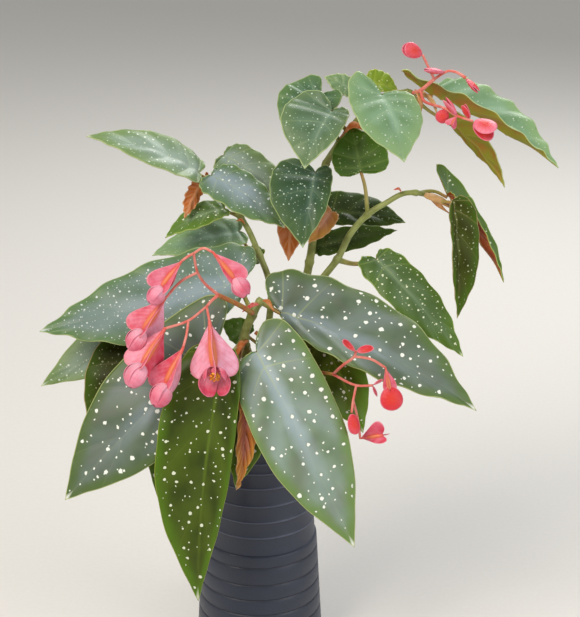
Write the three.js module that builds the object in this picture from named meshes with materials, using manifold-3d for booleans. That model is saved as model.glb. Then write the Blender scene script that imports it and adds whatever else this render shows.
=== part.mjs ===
// Potted cane begonia: a ribbed stoneware pot, its soil, four jointed canes, leaves and three flower sprays.
// Millimetres, +Z up, origin at the centre of the pot's foot, the viewer's side towards -Y.
import * as THREE from 'three';
import { mergeVertices } from 'three/addons/utils/BufferGeometryUtils.js';
import Module from 'manifold-3d';

const wasm = await Module();
wasm.setup();

// ---- Pot and soil ----
const POT_HEIGHT = 168;
const POT_FOOT_RADIUS = 42.3;
const POT_RIM_RADIUS = 33.4;
const POT_WALL = 4;
const POT_FLOOR = 6;
const POT_SIDES = 20;
const FOOT_BEVEL = 2;
const RIM_BEVEL = 0.6;
const BEAD_HEIGHTS = [159, 148.5, 141.5, 131, 118.5, 107, 96];   // fine raised lines, upper part
const BEAD_RISE = 0.7;
const BEAD_HALF = 1;
const STEP_HEIGHT = 83;   // below this line the wall stands out a little
const STEP_OUT = 1.2;
const STEP_SLOPE = 0.6;
const GROOVE_HEIGHTS = [74.5, 62, 51, 40, 29, 18];   // cut lines, lower part
const GROOVE_DEPTH = 0.8;
const GROOVE_HALF = 1.2;
const SOIL_TOP = 157;
const SOIL_GAP = 0.4;
const SOIL_DIP = 1;             // how much lower the soil lies at the wall
const SOIL_MOUND = 1.5;         // how much higher it lies halfway out than at the wall
const COLLAR_DEPTH = 5;         // the inside wall is upright from this far below the soil's top
const INSIDE_FOOT_RADIUS = POT_FOOT_RADIUS - POT_WALL - 1;
const CANE_HOLE_GAP = 0.8;

// ---- Leaves ----
const BLADE_THICKNESS = 0.8;
const PETIOLE_GAP = 0.5;
const PETIOLE_SIDES = 4;

// A half-blade's outline: part of the length, part of the half-width, and how far back in lobe lengths.
const LOBED_SIDE = [
  [0, 0, 0], [0, 0.14, 0.55], [0, 0.45, 1], [0, 0.8, 0.7], [0.05, 0.97, 0],
  [0.25, 1, 0], [0.5, 0.92, 0], [0.72, 0.62, 0], [0.89, 0.25, 0], [1, 0, 0],
];
const PLAIN_SIDE = [
  [0, 0, 0], [0.01, 0.16, 0.5], [0.05, 0.42, 1], [0.13, 0.67, 1], [0.25, 0.88, 0.5],
  [0.4, 1, 0], [0.57, 0.95, 0], [0.75, 0.66, 0], [0.9, 0.26, 0], [1, 0, 0],
];
const FULL_LOBE = 0.1;          // a lobe this part of the length long gives the lobed outline
const SINUS_END = 0.3;          // the outline's first part is drawn from the leaf stalk's end
const EDGE_CURL = 0.06;         // how far a blade's edge bends back, in half-widths
const EDGE_WAVE = 1;            // height of the waves along the edge
const EDGE_WAVE_COUNT = 2.5;
const EDGE_WAVE_FADE = 1.1;     // the waves die out a little before the tip

// base and tip: the two ends of the midrib; face: the way the upper side looks; widths and lobes: first the
// half on the left of the way from base to tip, seen from above, then the other; arch, bend and fold: how the
// midrib bows up and to the left, and the rise of each half; stalk: the way from the cane to the base.
const LEAVES = {
  front_right: { base: [0, -43.5, 231], tip: [61, -93, 120], face: [0.05, -0.8, 0.5], widths: [30, 26.5],
    lobes: [15, 4], arch: 9, fold: 0.1, cane: 'front', stalk: [[-7, -19, 226], [-3, -30, 222]] },
  front_centre: { base: [-19, -50, 235], tip: [-37, -88, 79], face: [0, -1, 0.2], widths: [16, 32],
    lobes: [5, 8], arch: 8, bend: -4.5, fold: 0.16, cane: 'front', stalk: [[-8, -20, 232], [-14, -36, 229]] },
  lower_left: { base: [-29, -41, 230], tip: [-121, -68, 140], face: [-0.25, -0.9, 0.4], widths: [28, 36],
    lobes: [4, 30], arch: 8, fold: 0.04, cane: 'front', stalk: [[-8, -19, 221], [-18, -32, 221]] },
  upper_left: { base: [-11, 3, 262], tip: [-139, -21, 236], face: [0, -0.65, 0.75], widths: [27, 32],
    lobes: [3, 15], arch: 4, bend: 4, fold: 0.08, cane: 'front', stalk: [[-3, -17, 246], [-7, -3, 250]] },
  left_second: { base: [-45, 18, 235], tip: [-143, -4, 191], face: [-0.2, -0.8, 0.5], widths: [17, 24],
    lobes: [5, 10], arch: 6, fold: 0.1, cane: 'front', stalk: [[-7, -18, 206], [-34, 24, 218]] },
  left_dark: { base: [-74, -2, 223], tip: [-110, -24, 169], face: [-0.35, -0.9, 0.2], widths: [18, 23],
    lobes: [4, 6], arch: 6, fold: 0.1, cane: 'front', stalk: [[-7, -15, 188], [-37, -8, 206]] },
  behind_centre_left: { base: [-44, -10, 213], tip: [-65, -42, 129], face: [-0.2, -0.9, 0.3],
    widths: [16, 20], lobes: [4, 4], arch: 5, fold: 0.1, cane: 'front',
    stalk: [[-6, -12, 180], [-26, -6, 193]] },
  behind_centre_right: { base: [-18, -24, 215], tip: [-28, -44, 149], face: [0.1, -1, 0.2], widths: [14, 12],
    lobes: [3, 3], arch: 3, fold: 0.1, cane: 'front', stalk: [[-7, -16, 190], [-14, -18, 202]] },
  curled_front: { base: [-8, -41, 217], tip: [-13, -62, 144], face: [0.65, -0.75, 0.1], widths: [9, 9],
    lobes: [2, 2], arch: 3, fold: 0.6, cane: 'front', stalk: [[-7, -20, 216], [-7, -30, 215]] },
  behind_curled: { base: [-3, -33, 206], tip: [-14, -49, 139], face: [0.1, -1, 0.15], widths: [15, 12],
    lobes: [3, 3], arch: 4, fold: 0.1, cane: 'front', stalk: [[-6, -11, 174], [-4, -20, 190]] },
  behind_right: { base: [40, -8, 228], tip: [68, -36, 172], face: [0.35, -0.9, 0.3], widths: [18, 20],
    lobes: [4, 4], arch: 5, fold: 0.1, cane: 'right', stalk: [[24, 6, 220], [32, -2, 222]] },
  right_big: { base: [15, -18, 248], tip: [137, -62, 199], face: [0.25, -0.62, 0.75], widths: [36, 20.5],
    lobes: [20, 0], arch: 10, fold: 0.15, cane: 'front', stalk: [[2, -14, 254], [8, -14, 250]] },
  small_centre: { base: [-7, 2, 225], tip: [-24, -8, 238], face: [-0.3, -0.8, 0.5], widths: [9, 9],
    lobes: [3, 3], arch: 2, fold: 0.1, cane: 'left', stalk: [[5, 14, 210], [0, 8, 216]] },
  right_arm: { base: [77, 8, 275], tip: [133, -14, 216], face: [0.1, -0.9, 0.5], widths: [15, 15],
    lobes: [5, 8], arch: 5, fold: 0.1, cane: 'right', stalk: [[52, 10, 274], [62, 14, 270]] },
  right_vertical: { base: [124, -3, 318], tip: [128, -16, 243], face: [0.5, -0.85, 0.1], widths: [14.5, 6],
    lobes: [4, 2], arch: 3, fold: 0.35, cane: 'right', stalk: [[110, 12, 316], [117, 5, 315]] },
  right_outer: { base: [122, 13, 317], tip: [160, 6, 260], face: [0.8, -0.15, 0.55], widths: [10, 9],
    lobes: [20, 3], arch: 1, fold: 0.95, cane: 'right', stalk: [[102, 12, 318], [113, 14, 319]] },
  back_right_upper: { base: [45, 56, 292], tip: [99, 60, 284], face: [0, -0.6, 0.8], widths: [18, 11],
    lobes: [8, 3], arch: 4, fold: 0.05, cane: 'middle', stalk: [[37, 31, 290], [40, 49, 282]] },
  back_right_lower: { base: [38, 38, 274], tip: [92, 36, 286], face: [0.1, -0.8, 0.6], widths: [9, 9],
    lobes: [4, 3], arch: 3, fold: 0.1, cane: 'middle', stalk: [[34, 32, 266], [36, 36, 268]] },
  top_mid: { base: [66, 10, 333], tip: [60, 20, 360], face: [0, -0.85, 0.5], widths: [17, 19],
    lobes: [2, 3], arch: 3, fold: 0.1, cane: 'right', stalk: [[71, 12, 304], [69, 14, 322]] },
  top_heart: { base: [78, 4, 384], tip: [91, -24, 348], face: [0.1, -0.7, 0.7], widths: [19, 23],
    lobes: [2, 18], arch: 6, fold: 0.12, cane: 'middle', stalk: [[76, 26, 373], [77, 14, 378]] },
  top_left_heart: { base: [47, 2, 374], tip: [30, -24, 344], face: [-0.1, -0.7, 0.7], widths: [13, 27],
    lobes: [5, 10], arch: 6, fold: 0.12, cane: 'middle', stalk: [[58, 26, 355], [52, 14, 364]] },
  top_left_back: { base: [39, 28, 377], tip: [17, 14, 357], face: [-0.1, -0.6, 0.8], widths: [17, 21],
    lobes: [12, 12], arch: 4, fold: 0.1, cane: 'middle', stalk: [[53, 26, 348], [44, 30, 363]] },
  top_small: { base: [59, 34, 381], tip: [43, 38, 388], face: [-0.1, -0.7, 0.7], widths: [7, 7],
    lobes: [3, 3], arch: 2, fold: 0.1, cane: 'middle', stalk: [[72, 26, 372], [66, 33, 372]] },
  top_yellow: { base: [73, 34, 384], tip: [90, 38, 380], face: [0.1, -0.7, 0.7], widths: [11, 6],
    lobes: [3, 2], arch: 2, fold: 0.1, cane: 'middle', stalk: [[80, 26, 377], [76, 33, 378]] },
  centre_heart: { base: [37, 8, 333], tip: [29, -24, 293], face: [0, -0.8, 0.6], widths: [12, 27],
    lobes: [6, 7], arch: 6, fold: 0.12, cane: 'middle', stalk: [[45, 28, 334], [41, 18, 330]] },
  left_pale: { base: [-22, 36, 337], tip: [21, 18, 309], face: [0.1, -0.7, 0.7], widths: [15, 16],
    lobes: [3, 3], arch: 5, fold: 0.1, cane: 'left', stalk: [[-23, 24, 314], [-25, 34, 326]] },
  left_silver: { base: [-29, 12, 330], tip: [18, -8, 301], face: [0.1, -0.65, 0.75], widths: [15, 16],
    lobes: [3, 4], arch: 5, fold: 0.1, cane: 'left', stalk: [[-29, 22, 319], [-31, 16, 324]] },
  far_left: { base: [-38, 20, 330], tip: [-108, 14, 355], face: [-0.1, -0.4, 0.9], widths: [15, 17],
    lobes: [5, 5], arch: 6, fold: 0.1, cane: 'left', stalk: [[-31, 22, 322], [-34, 21, 326]] },
  curled_left: { base: [-37, 22, 321], tip: [-47, 13, 301], face: [-0.3, 0.8, -0.4], widths: [6, 5],
    lobes: [2, 2], arch: 3, fold: 0.4, cane: 'left', stalk: [[-25, 23, 315], [-31, 18, 318]] },
  left_narrow: { base: [-22, 26, 304], tip: [-60, 16, 287], face: [-0.1, -0.4, 0.9], widths: [11, 11],
    lobes: [3, 3], arch: 4, fold: 0.1, cane: 'left', stalk: [[-12, 27, 298], [-17, 28, 300]] },
  left_mid: { base: [-13, 40, 284], tip: [-70, 28, 271], face: [-0.1, -0.6, 0.8], widths: [14, 13],
    lobes: [5, 5], arch: 4, fold: 0.06, cane: 'left', stalk: [[1, 27, 272], [-6, 36, 273]] },
  olive_back: { base: [1, 38, 267], tip: [-15, 42, 265], face: [0, -0.5, 0.8], widths: [8, 8],
    lobes: [3, 3], arch: 2, fold: 0.1, cane: 'left', stalk: [[7, 24, 250], [5, 32, 258]] },
  brown_back: { base: [22, 36, 303], tip: [20, 28, 267], face: [0, 0.9, -0.3], widths: [9, 9],
    lobes: [3, 3], arch: 4, fold: 0.1, cane: 'middle', stalk: [[37, 30, 308], [30, 31, 308]] },
  brown_fold: { base: [48, 24, 302], tip: [33, 20, 282], face: [-0.2, -0.9, 0.1], widths: [7, 7],
    lobes: [2, 2], arch: 2, fold: 0.2, cane: 'middle', stalk: [[37, 30, 308], [45, 28, 305]] },
  top_right_long: { base: [111, 34, 378], tip: [192, 12, 335], face: [0, 0.1, 1], widths: [23, 13],
    lobes: [3, 24], arch: 2, fold: 0.8, cane: 'middle', stalk: [[95, 26, 380], [103, 33, 378]] },
  top_right_hang: { base: [121, 38, 361], tip: [159, 16, 321], face: [0.7, 0.6, 0.3], widths: [6, 13],
    lobes: [3, 4], arch: 4, fold: 0.2, cane: 'middle', stalk: [[97, 26, 380], [109, 33, 368]] },
};
const BIG_LEAF = 80;            // leaves longer than this get the finer division
const BIG_DIVISION = { along: 10, across: 3 };
const SMALL_DIVISION = { along: 8, across: 2 };

// ---- Canes: points up the middle of each cane, and the half-thickness there ----
const CANE_SIDES = 7;
const CANES = {
  front: {
    path: [[-4, -8, 144], [-5, -10, 166], [-7, -17, 196], [-7, -20, 219], [-8, -20, 233], [-3, -17, 246],
      [3, -14, 256]],
    radii: [3.4, 3.4, 3.2, 3.0, 3.0, 2.8, 2.2],
  },
  left: {
    path: [[3, 10, 144], [4, 12, 170], [5, 14, 210], [8, 24, 250], [-1, 28, 276], [-8, 28, 292],
      [-20, 25, 310], [-31, 22, 322]],
    radii: [2.6, 2.6, 2.4, 2.2, 2.0, 1.9, 1.7, 1.5],
  },
  middle: {
    path: [[15, 8, 144], [17, 15, 170], [21, 24, 213], [31, 31, 250], [36, 33, 280], [37, 30, 308],
      [44, 28, 333], [59, 26, 356], [74, 26, 373], [88, 26, 380], [99, 26, 380]],
    radii: [3.2, 3.2, 3.0, 2.8, 2.6, 2.4, 2.2, 2.1, 2.0, 1.9, 1.8],
  },
  right: {
    path: [[12, -8, 144], [15, -6, 170], [24, 6, 220], [38, 9, 255], [52, 10, 275], [60, 12, 291],
      [71, 12, 304], [83, 12, 312], [94, 12, 318], [105, 12, 318], [115, 12, 314]],
    radii: [3.0, 2.9, 2.7, 2.4, 2.2, 2.1, 2.0, 1.8, 1.7, 1.6, 1.5],
  },
};
const STALK_RADIUS = { big: [1.9, 1.3], small: [1.4, 1.0] };

// ---- Flower sprays ----
const SPRAY_STALK_SIDES = 4;
const SPRAYS = {
  front: {
    stalks: [
      { path: [[-3, -22, 249], [-10, -36, 259], [-23, -50, 271]], radii: [1.8, 1.6, 1.4] },
      { path: [[-23, -50, 271], [-31, -54, 280], [-35, -57, 288], [-37, -60, 301]],
        radii: [1.1, 0.9, 0.8, 0.8] },
      { path: [[-37, -60, 301], [-31, -62, 305], [-25, -64, 303]], radii: [0.8, 0.8, 0.8] },
      { path: [[-37, -60, 301], [-40, -62, 300], [-44, -62, 297]], radii: [0.8, 0.8, 0.8] },
      { path: [[-35, -57, 288], [-45, -59, 283], [-55, -60, 272]], radii: [0.8, 0.8, 0.8] },
      { path: [[-23, -50, 271], [-27, -52, 268], [-30, -54, 265]], radii: [1.1, 0.9, 0.9] },
      { path: [[-30, -54, 265], [-41, -60, 258], [-55, -66, 255]], radii: [0.8, 0.8, 0.8] },
      { path: [[-41, -60, 258], [-42, -66, 251], [-44, -70, 244]], radii: [0.8, 0.8, 0.8] },
      { path: [[-30, -54, 265], [-29, -59, 262], [-28, -62, 258]], radii: [0.8, 0.8, 0.8] },
    ],
    blooms: [
      { at: [-25, -64, 303], to: [-6, -71, 280], turn: -10, scale: 0.92, spread: 0.65 },
      { at: [-44, -62, 297], to: [-62, -69, 275], turn: 54, scale: 0.89, spread: 0.8 },
      { at: [-55, -60, 272], to: [-76, -67, 243], turn: 24, scale: 1.05, spread: 0.85 },
      { at: [-55, -66, 255], to: [-76, -83, 225], turn: 24, scale: 1.15, spread: 0.8 },
      { at: [-44, -70, 244], to: [-62, -82, 209], turn: 44, scale: 1.1, spread: 0.7 },
      { at: [-28, -62, 258], to: [-23, -80, 212], turn: 24, scale: 1.35, spread: 0.85 },
    ],
  },
  right: {
    stalks: [
      { path: [[-1, -22, 236], [24, -23, 213], [48, -44, 216]], radii: [1.4, 1.2, 1.1] },
      { path: [[48, -44, 216], [54, -67, 232], [60, -74, 240], [61, -75, 244]], radii: [0.9, 0.9, 0.9, 0.8] },
      { path: [[60, -74, 240], [70, -76, 239], [79, -75, 233]], radii: [0.8, 0.8, 0.8] },
      { path: [[48, -44, 216], [62, -62, 216], [72, -67, 218]], radii: [0.9, 0.8, 0.8] },
      { path: [[62, -62, 216], [60, -67, 208], [59, -70, 201]], radii: [0.8, 0.8, 0.8] },
      { path: [[60, -67, 208], [63, -61, 194], [65, -62, 180]], radii: [0.8, 0.8, 0.8] },
    ],
    blooms: [
      { at: [61, -75, 244], to: [63, -76, 252], turn: 37, scale: 0.3, spread: 1 },
      { at: [79, -75, 233], to: [84, -82, 208], turn: 10, scale: 0.7, spread: 0.6 },
      { at: [72, -67, 218], to: [78, -70, 217], turn: 90, scale: 0.2, spread: 1 },
      { at: [59, -70, 201], to: [62, -74, 185], turn: 20, scale: 0.38, spread: 0.8 },
      { at: [65, -62, 180], to: [79, -66, 184], turn: -36, scale: 0.5, spread: 1 },
    ],
  },
  top: {
    stalks: [
      { path: [[99, 23, 381], [103, 16, 384], [111, 12, 392]], radii: [1.2, 1.2, 1.1] },
      { path: [[111, 12, 392], [106, 9, 402], [103, 8, 408]], radii: [0.9, 0.8, 0.8] },
      { path: [[111, 12, 392], [117, 8, 397], [120, 8, 398], [125, 7, 397], [130, 6, 394]],
        radii: [0.9, 0.8, 0.8, 0.9, 1.1] },
      { path: [[103, 16, 384], [105, 14, 378], [109, 13, 376], [117, 6, 375], [125, 2, 371], [135, 0, 368]],
        radii: [1.0, 1.0, 0.9, 0.9, 0.8, 0.8] },
    ],
    blooms: [
      { at: [103, 8, 408], to: [90, 4, 414], turn: 80, scale: 0.39, spread: 1 },
      { at: [117, 8, 397], to: [101, 4, 400], turn: 0, scale: 0.38, spread: 0.6 },
      { at: [130, 6, 394], to: [137, 1, 387], turn: 80, scale: 0.34, spread: 0.8 },
      { at: [125, 2, 371], to: [116, 2, 383], turn: 0, scale: 0.38, spread: 0.6 },
      { at: [119, 6, 374], to: [115, 5, 368], turn: 20, scale: 0.26, spread: 1 },
      { at: [125, 2, 371], to: [119, -2, 362], turn: 30, scale: 0.3, spread: 1 },
      { at: [133, 1, 369], to: [129, 4, 377], turn: 50, scale: 0.28, spread: 1 },
      { at: [135, 0, 368], to: [148, -6, 361], turn: 10, scale: 0.45, spread: 0.9 },
    ],
  },
};
// A female flower at full size hangs from its stalk's end: ovary, three wings, then four tepals below.
// Small flowers have plainer outlines, and buds only two wings. A flower's spread is how wide its wings
// stand, as a share of the full width.
const OVARY = [[0, 1], [1.3, -2], [3.2, -22], [0, -31]];
const OVARY_SIDES = 5;
const WING = [[0.6, -2], [5.5, -10], [13.5, -20.5], [15.5, -27], [12, -32], [1.2, -29.5]];
const TEPAL = [[-1.3, 0], [-5.4, -5.5], [-4.6, -11], [0, -13.5], [4.6, -11], [5.4, -5.5], [1.3, 0]];
const WING_TURN = 0.1;
const TEPAL_LEAN = 0.75;
const TEPAL_OUT = 2;
const TEPAL_START = -27;
const FLOWER_SIZES = [
  { upTo: 0.4, wings: 2, tepals: 0, plate: 2 },
  { upTo: 0.7, wings: 3, tepals: 3, plate: 1.7 },
  { upTo: 2, wings: 3, tepals: 4, plate: 1.1 },
];

const COLOURS = {
  pot: { color: 0x3f4656, roughness: 0.55 },
  soil: { color: 0x2c2119, roughness: 1 },
  cane: { color: 0x8f9a4e, roughness: 0.6 },
  leaf: { color: 0x5d7a5a, roughness: 0.5 },
  flower: { color: 0xee5f68, roughness: 0.5 },
};

const plant = new THREE.Group();

function addMesh(name, geometry, look) {
  geometry.computeVertexNormals();
  const material = new THREE.MeshStandardMaterial({ ...COLOURS[look], metalness: 0 });
  const mesh = new THREE.Mesh(geometry, material);
  mesh.name = name;
  plant.add(mesh);
}

const vector = (xyz) => new THREE.Vector3(...xyz);
const { lerp } = THREE.MathUtils;

// ---- Joining closed shapes ----
function toSolid(geometry) {
  const bare = geometry.clone();
  bare.deleteAttribute('normal');
  bare.deleteAttribute('uv');
  const welded = mergeVertices(bare, 1e-4);
  return new wasm.Manifold(new wasm.Mesh({
    numProp: 3,
    vertProperties: new Float32Array(welded.attributes.position.array),
    triVerts: new Uint32Array(welded.index.array),
  }));
}

function toGeometry(solid) {
  const { vertProperties, triVerts } = solid.getMesh();
  const geometry = new THREE.BufferGeometry();
  geometry.setAttribute('position', new THREE.BufferAttribute(vertProperties, 3));
  geometry.setIndex(new THREE.BufferAttribute(triVerts, 1));
  return geometry;
}

const join = (geometries) => toGeometry(geometries.map(toSolid).reduce((whole, piece) => whole.add(piece)));

// A round stem through the points, closed at both ends, its radius given at each point.
function stem(points, radii, sides, stepsPerSpan = 1) {
  const curve = new THREE.CatmullRomCurve3(points.map(vector), false, 'centripetal');
  const steps = (points.length - 1) * stepsPerSpan;
  const rings = [];
  let across = new THREE.Vector3(1, 0, 0);
  for (let i = 0; i <= steps; i += 1) {
    const t = i / steps;
    const tangent = curve.getTangent(t);
    if (i === 0 && Math.abs(tangent.x) > 0.8) across.set(0, 1, 0);
    across = across.clone().addScaledVector(tangent, -across.dot(tangent)).normalize();
    const span = Math.min(Math.floor(t * (points.length - 1)), points.length - 2);
    const part = t * (points.length - 1) - span;
    const radius = lerp(radii[span], radii[span + 1], part);
    rings.push({ centre: curve.getPoint(t), across, other: across.clone().cross(tangent), radius });
  }
  const geometry = new THREE.CylinderGeometry(1, 1, 1, sides, steps);
  const position = geometry.attributes.position;
  for (let v = 0; v < position.count; v += 1) {
    const ring = rings[Math.round((position.getY(v) + 0.5) * steps)];
    const point = ring.centre.clone()
      .addScaledVector(ring.across, position.getX(v) * ring.radius)
      .addScaledVector(ring.other, position.getZ(v) * ring.radius);
    position.setXYZ(v, point.x, point.y, point.z);
  }
  return geometry;
}

// ---- Leaf blade ----
function sideOutline(length, width, lobe) {
  const lobed = Math.min(1, lobe / (FULL_LOBE * length));
  const knots = LOBED_SIDE.map(([along, out, back], i) => {
    const [plainAlong, plainOut, plainBack] = PLAIN_SIDE[i];
    const x = lerp(plainAlong, along, lobed) * length - lerp(plainBack, back, lobed) * lobe;
    return new THREE.Vector3(x, lerp(plainOut, out, lobed) * width, 0);
  });
  return new THREE.CatmullRomCurve3(knots, false, 'catmullrom', 0.5);
}

function leafFrame({ base, tip, face }) {
  const origin = vector(base);
  const along = vector(tip).sub(origin);
  const length = along.length();
  along.normalize();
  const up = vector(face);
  up.addScaledVector(along, -up.dot(along)).normalize();
  return { origin, along, up, left: up.clone().cross(along), length };
}

// The middle surface of a blade. part runs along the outline from base to tip, reach from midrib to edge.
function bladePoint(leaf, frame, outline, side, part, reach) {
  const rib = Math.max(0, (part - SINUS_END) / (1 - SINUS_END)) ** 2 * frame.length;
  const edge = outline.getPoint(part);
  const width = leaf.widths[side === 1 ? 0 : 1];
  const x = lerp(rib, edge.x, reach);
  const y = edge.y * reach;
  const t = Math.max(0, x / frame.length);
  const bow = 4 * t * (1 - t);
  const wave = Math.sin(2 * Math.PI * EDGE_WAVE_COUNT * part + side);
  const fade = Math.sin(Math.PI * Math.min(1, part * EDGE_WAVE_FADE));
  const ruffle = EDGE_WAVE * reach * reach * wave * fade;
  const z = bow * leaf.arch + leaf.fold * y - EDGE_CURL * y * y / width + ruffle;
  return frame.origin.clone()
    .addScaledVector(frame.along, x)
    .addScaledVector(frame.left, side * y + bow * (leaf.bend ?? 0))
    .addScaledVector(frame.up, z);
}

function bladeGeometry(leaf) {
  const frame = leafFrame(leaf);
  const { along, across } = frame.length > BIG_LEAF ? BIG_DIVISION : SMALL_DIVISION;
  const points = [];
  const indexOf = new Map();
  const indexFor = (point) => {
    const key = point.toArray().map((value) => Math.round(value * 1e4)).join();
    if (!indexOf.has(key)) {
      indexOf.set(key, points.length);
      points.push(point);
    }
    return indexOf.get(key);
  };
  const triangles = [];
  const rims = [];
  for (const side of [1, -1]) {
    const half = side === 1 ? 0 : 1;
    const outline = sideOutline(frame.length, leaf.widths[half], leaf.lobes[half]);
    const grid = [];
    for (let i = 0; i <= along; i += 1) {
      const row = [];
      for (let j = 0; j <= across; j += 1) {
        row.push(indexFor(bladePoint(leaf, frame, outline, side, i / along, j / across)));
      }
      grid.push(row);
    }
    for (let i = 0; i < along; i += 1) {
      for (let j = 0; j < across; j += 1) {
        const corners = [grid[i][j], grid[i + 1][j], grid[i + 1][j + 1], grid[i][j + 1]];
        if (side === -1) corners.reverse();
        const [a, b, c, d] = corners;
        triangles.push([a, b, c], [a, c, d]);
      }
    }
    const rim = grid.map((row) => row[across]);
    rims.push(side === 1 ? rim : rim.reverse());
  }
  const faces = triangles.filter(([a, b, c]) => a !== b && b !== c && c !== a);
  const normals = points.map(() => new THREE.Vector3());
  for (const corners of faces) {
    const [a, b, c] = corners.map((index) => points[index]);
    const normal = b.clone().sub(a).cross(c.clone().sub(a));
    corners.forEach((index) => normals[index].add(normal));
  }
  const depth = BLADE_THICKNESS / 2;
  const upper = points.map((point, i) => point.clone().addScaledVector(normals[i].normalize(), depth));
  const lower = points.map((point, i) => point.clone().addScaledVector(normals[i], -depth));
  const index = [];
  for (const [a, b, c] of faces) {
    index.push(a, b, c, c + points.length, b + points.length, a + points.length);
  }
  for (const rim of rims) {
    for (let i = 0; i < rim.length - 1; i += 1) {
      const [a, b] = [rim[i], rim[i + 1]];
      index.push(a, b, b + points.length, a, b + points.length, a + points.length);
    }
  }
  const geometry = new THREE.BufferGeometry();
  geometry.setAttribute('position', new THREE.Float32BufferAttribute(
    [...upper, ...lower].flatMap((point) => point.toArray()), 3));
  geometry.setIndex(index);
  return geometry;
}

// The leaf stalk ends just under the blade, by its base.
function leafStalk(leaf) {
  const frame = leafFrame(leaf);
  const [thick, thin] = STALK_RADIUS[frame.length > BIG_LEAF ? 'big' : 'small'];
  const end = frame.origin.clone()
    .addScaledVector(frame.along, thin)
    .addScaledVector(frame.up, -(BLADE_THICKNESS / 2 + PETIOLE_GAP + thin));
  const points = [...leaf.stalk, end.toArray()];
  const radii = points.map((point, i) => lerp(thick, thin, i / (points.length - 1)));
  return stem(points, radii, PETIOLE_SIDES, frame.length > BIG_LEAF ? 2 : 1);
}

// ---- Flowers ----
function thinPlate(outline, thickness) {
  const shape = new THREE.Shape(outline.map(([x, y]) => new THREE.Vector2(x, y)));
  const plate = new THREE.ExtrudeGeometry(shape, { depth: thickness, bevelEnabled: false });
  return plate.translate(0, 0, -thickness / 2);
}

// One tepal: a thin rounded plate that hangs from the ovary's end and leans out from the flower's axis.
function tepal(plate, turn) {
  const blade = thinPlate(TEPAL, plate).rotateX(Math.PI / 2 - TEPAL_LEAN);
  return blade.translate(0, -TEPAL_OUT, TEPAL_START).rotateZ(turn);
}

function bloom({ at, to, turn, scale, spread }) {
  const { wings, tepals, plate } = FLOWER_SIZES.find(({ upTo }) => scale < upTo);
  const profile = OVARY.map(([r, y]) => new THREE.Vector2(r, y)).reverse();
  const pieces = [new THREE.LatheGeometry(profile, OVARY_SIDES).rotateX(Math.PI / 2)];
  for (let i = 0; i < wings; i += 1) {
    const wing = thinPlate(WING, plate).rotateX(Math.PI / 2).scale(spread, 1, 1);
    pieces.push(wing.rotateZ((i * 2 * Math.PI) / wings + WING_TURN));
  }
  for (let i = 0; i < tepals; i += 1) {
    pieces.push(tepal(plate, (i * 2 * Math.PI) / tepals));
  }
  const down = vector(to).sub(vector(at)).normalize();
  const aim = new THREE.Quaternion().setFromUnitVectors(new THREE.Vector3(0, 0, -1), down);
  const axis = new THREE.Vector3(0, 0, 1);
  const spin = new THREE.Quaternion().setFromAxisAngle(axis, THREE.MathUtils.degToRad(turn));
  const place = new THREE.Matrix4().compose(vector(at), aim.multiply(spin),
    new THREE.Vector3(scale, scale, scale));
  return pieces.map((piece) => piece.applyMatrix4(place));
}

// ---- Pot ----
function potGeometry() {
  const taper = (z) => lerp(POT_FOOT_RADIUS, POT_RIM_RADIUS, z / POT_HEIGHT);
  const outerRadius = (z) => taper(z) + (z < STEP_HEIGHT ? STEP_OUT : 0);
  const rim = outerRadius(POT_HEIGHT);
  const profile = [[0, 0], [outerRadius(0) - FOOT_BEVEL, 0], [outerRadius(FOOT_BEVEL), FOOT_BEVEL]];
  for (const z of [...GROOVE_HEIGHTS].reverse()) {
    const [below, above] = [z - GROOVE_HALF, z + GROOVE_HALF];
    profile.push([outerRadius(below), below], [outerRadius(z) - GROOVE_DEPTH, z]);
    profile.push([outerRadius(above), above]);
  }
  const step = outerRadius(STEP_HEIGHT);
  profile.push([step + STEP_OUT, STEP_HEIGHT - STEP_SLOPE], [step, STEP_HEIGHT]);
  for (const z of [...BEAD_HEIGHTS].reverse()) {
    const [below, above] = [z - BEAD_HALF, z + BEAD_HALF];
    profile.push([outerRadius(below), below], [outerRadius(z) + BEAD_RISE, z], [outerRadius(above), above]);
  }
  profile.push([rim - RIM_BEVEL, POT_HEIGHT], [rim - POT_WALL, POT_HEIGHT]);
  profile.push([rim - POT_WALL, SOIL_TOP - COLLAR_DEPTH], [INSIDE_FOOT_RADIUS, POT_FLOOR], [0, POT_FLOOR]);
  const geometry = new THREE.LatheGeometry(profile.map(([r, z]) => new THREE.Vector2(r, z)), POT_SIDES);
  return geometry.rotateX(Math.PI / 2);
}

function soilGeometry() {
  const inner = POT_RIM_RADIUS - POT_WALL - SOIL_GAP;
  const floor = POT_FLOOR + SOIL_GAP;
  const edge = SOIL_TOP - SOIL_DIP;
  const profile = [[0, floor], [INSIDE_FOOT_RADIUS - SOIL_GAP, floor], [inner, SOIL_TOP - COLLAR_DEPTH],
    [inner, edge], [inner / 2, edge + SOIL_MOUND], [0, SOIL_TOP]];
  const body = new THREE.LatheGeometry(profile.map(([r, z]) => new THREE.Vector2(r, z)), POT_SIDES);
  let solid = toSolid(body.rotateX(Math.PI / 2));
  for (const { path, radii } of Object.values(CANES)) {
    const holeRadii = radii.map((radius) => radius + CANE_HOLE_GAP);
    const [foot, ...rest] = path;
    solid = solid.subtract(toSolid(stem([[foot[0], foot[1], foot[2] - 1], ...rest], holeRadii, CANE_SIDES)));
  }
  return toGeometry(solid);
}

addMesh('pot', potGeometry(), 'pot');
addMesh('soil', soilGeometry(), 'soil');

for (const [name, { path, radii }] of Object.entries(CANES)) {
  const stalks = Object.values(LEAVES).filter((leaf) => leaf.cane === name).map(leafStalk);
  addMesh(`cane_${name}`, join([stem(path, radii, CANE_SIDES), ...stalks]), 'cane');
}

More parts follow.
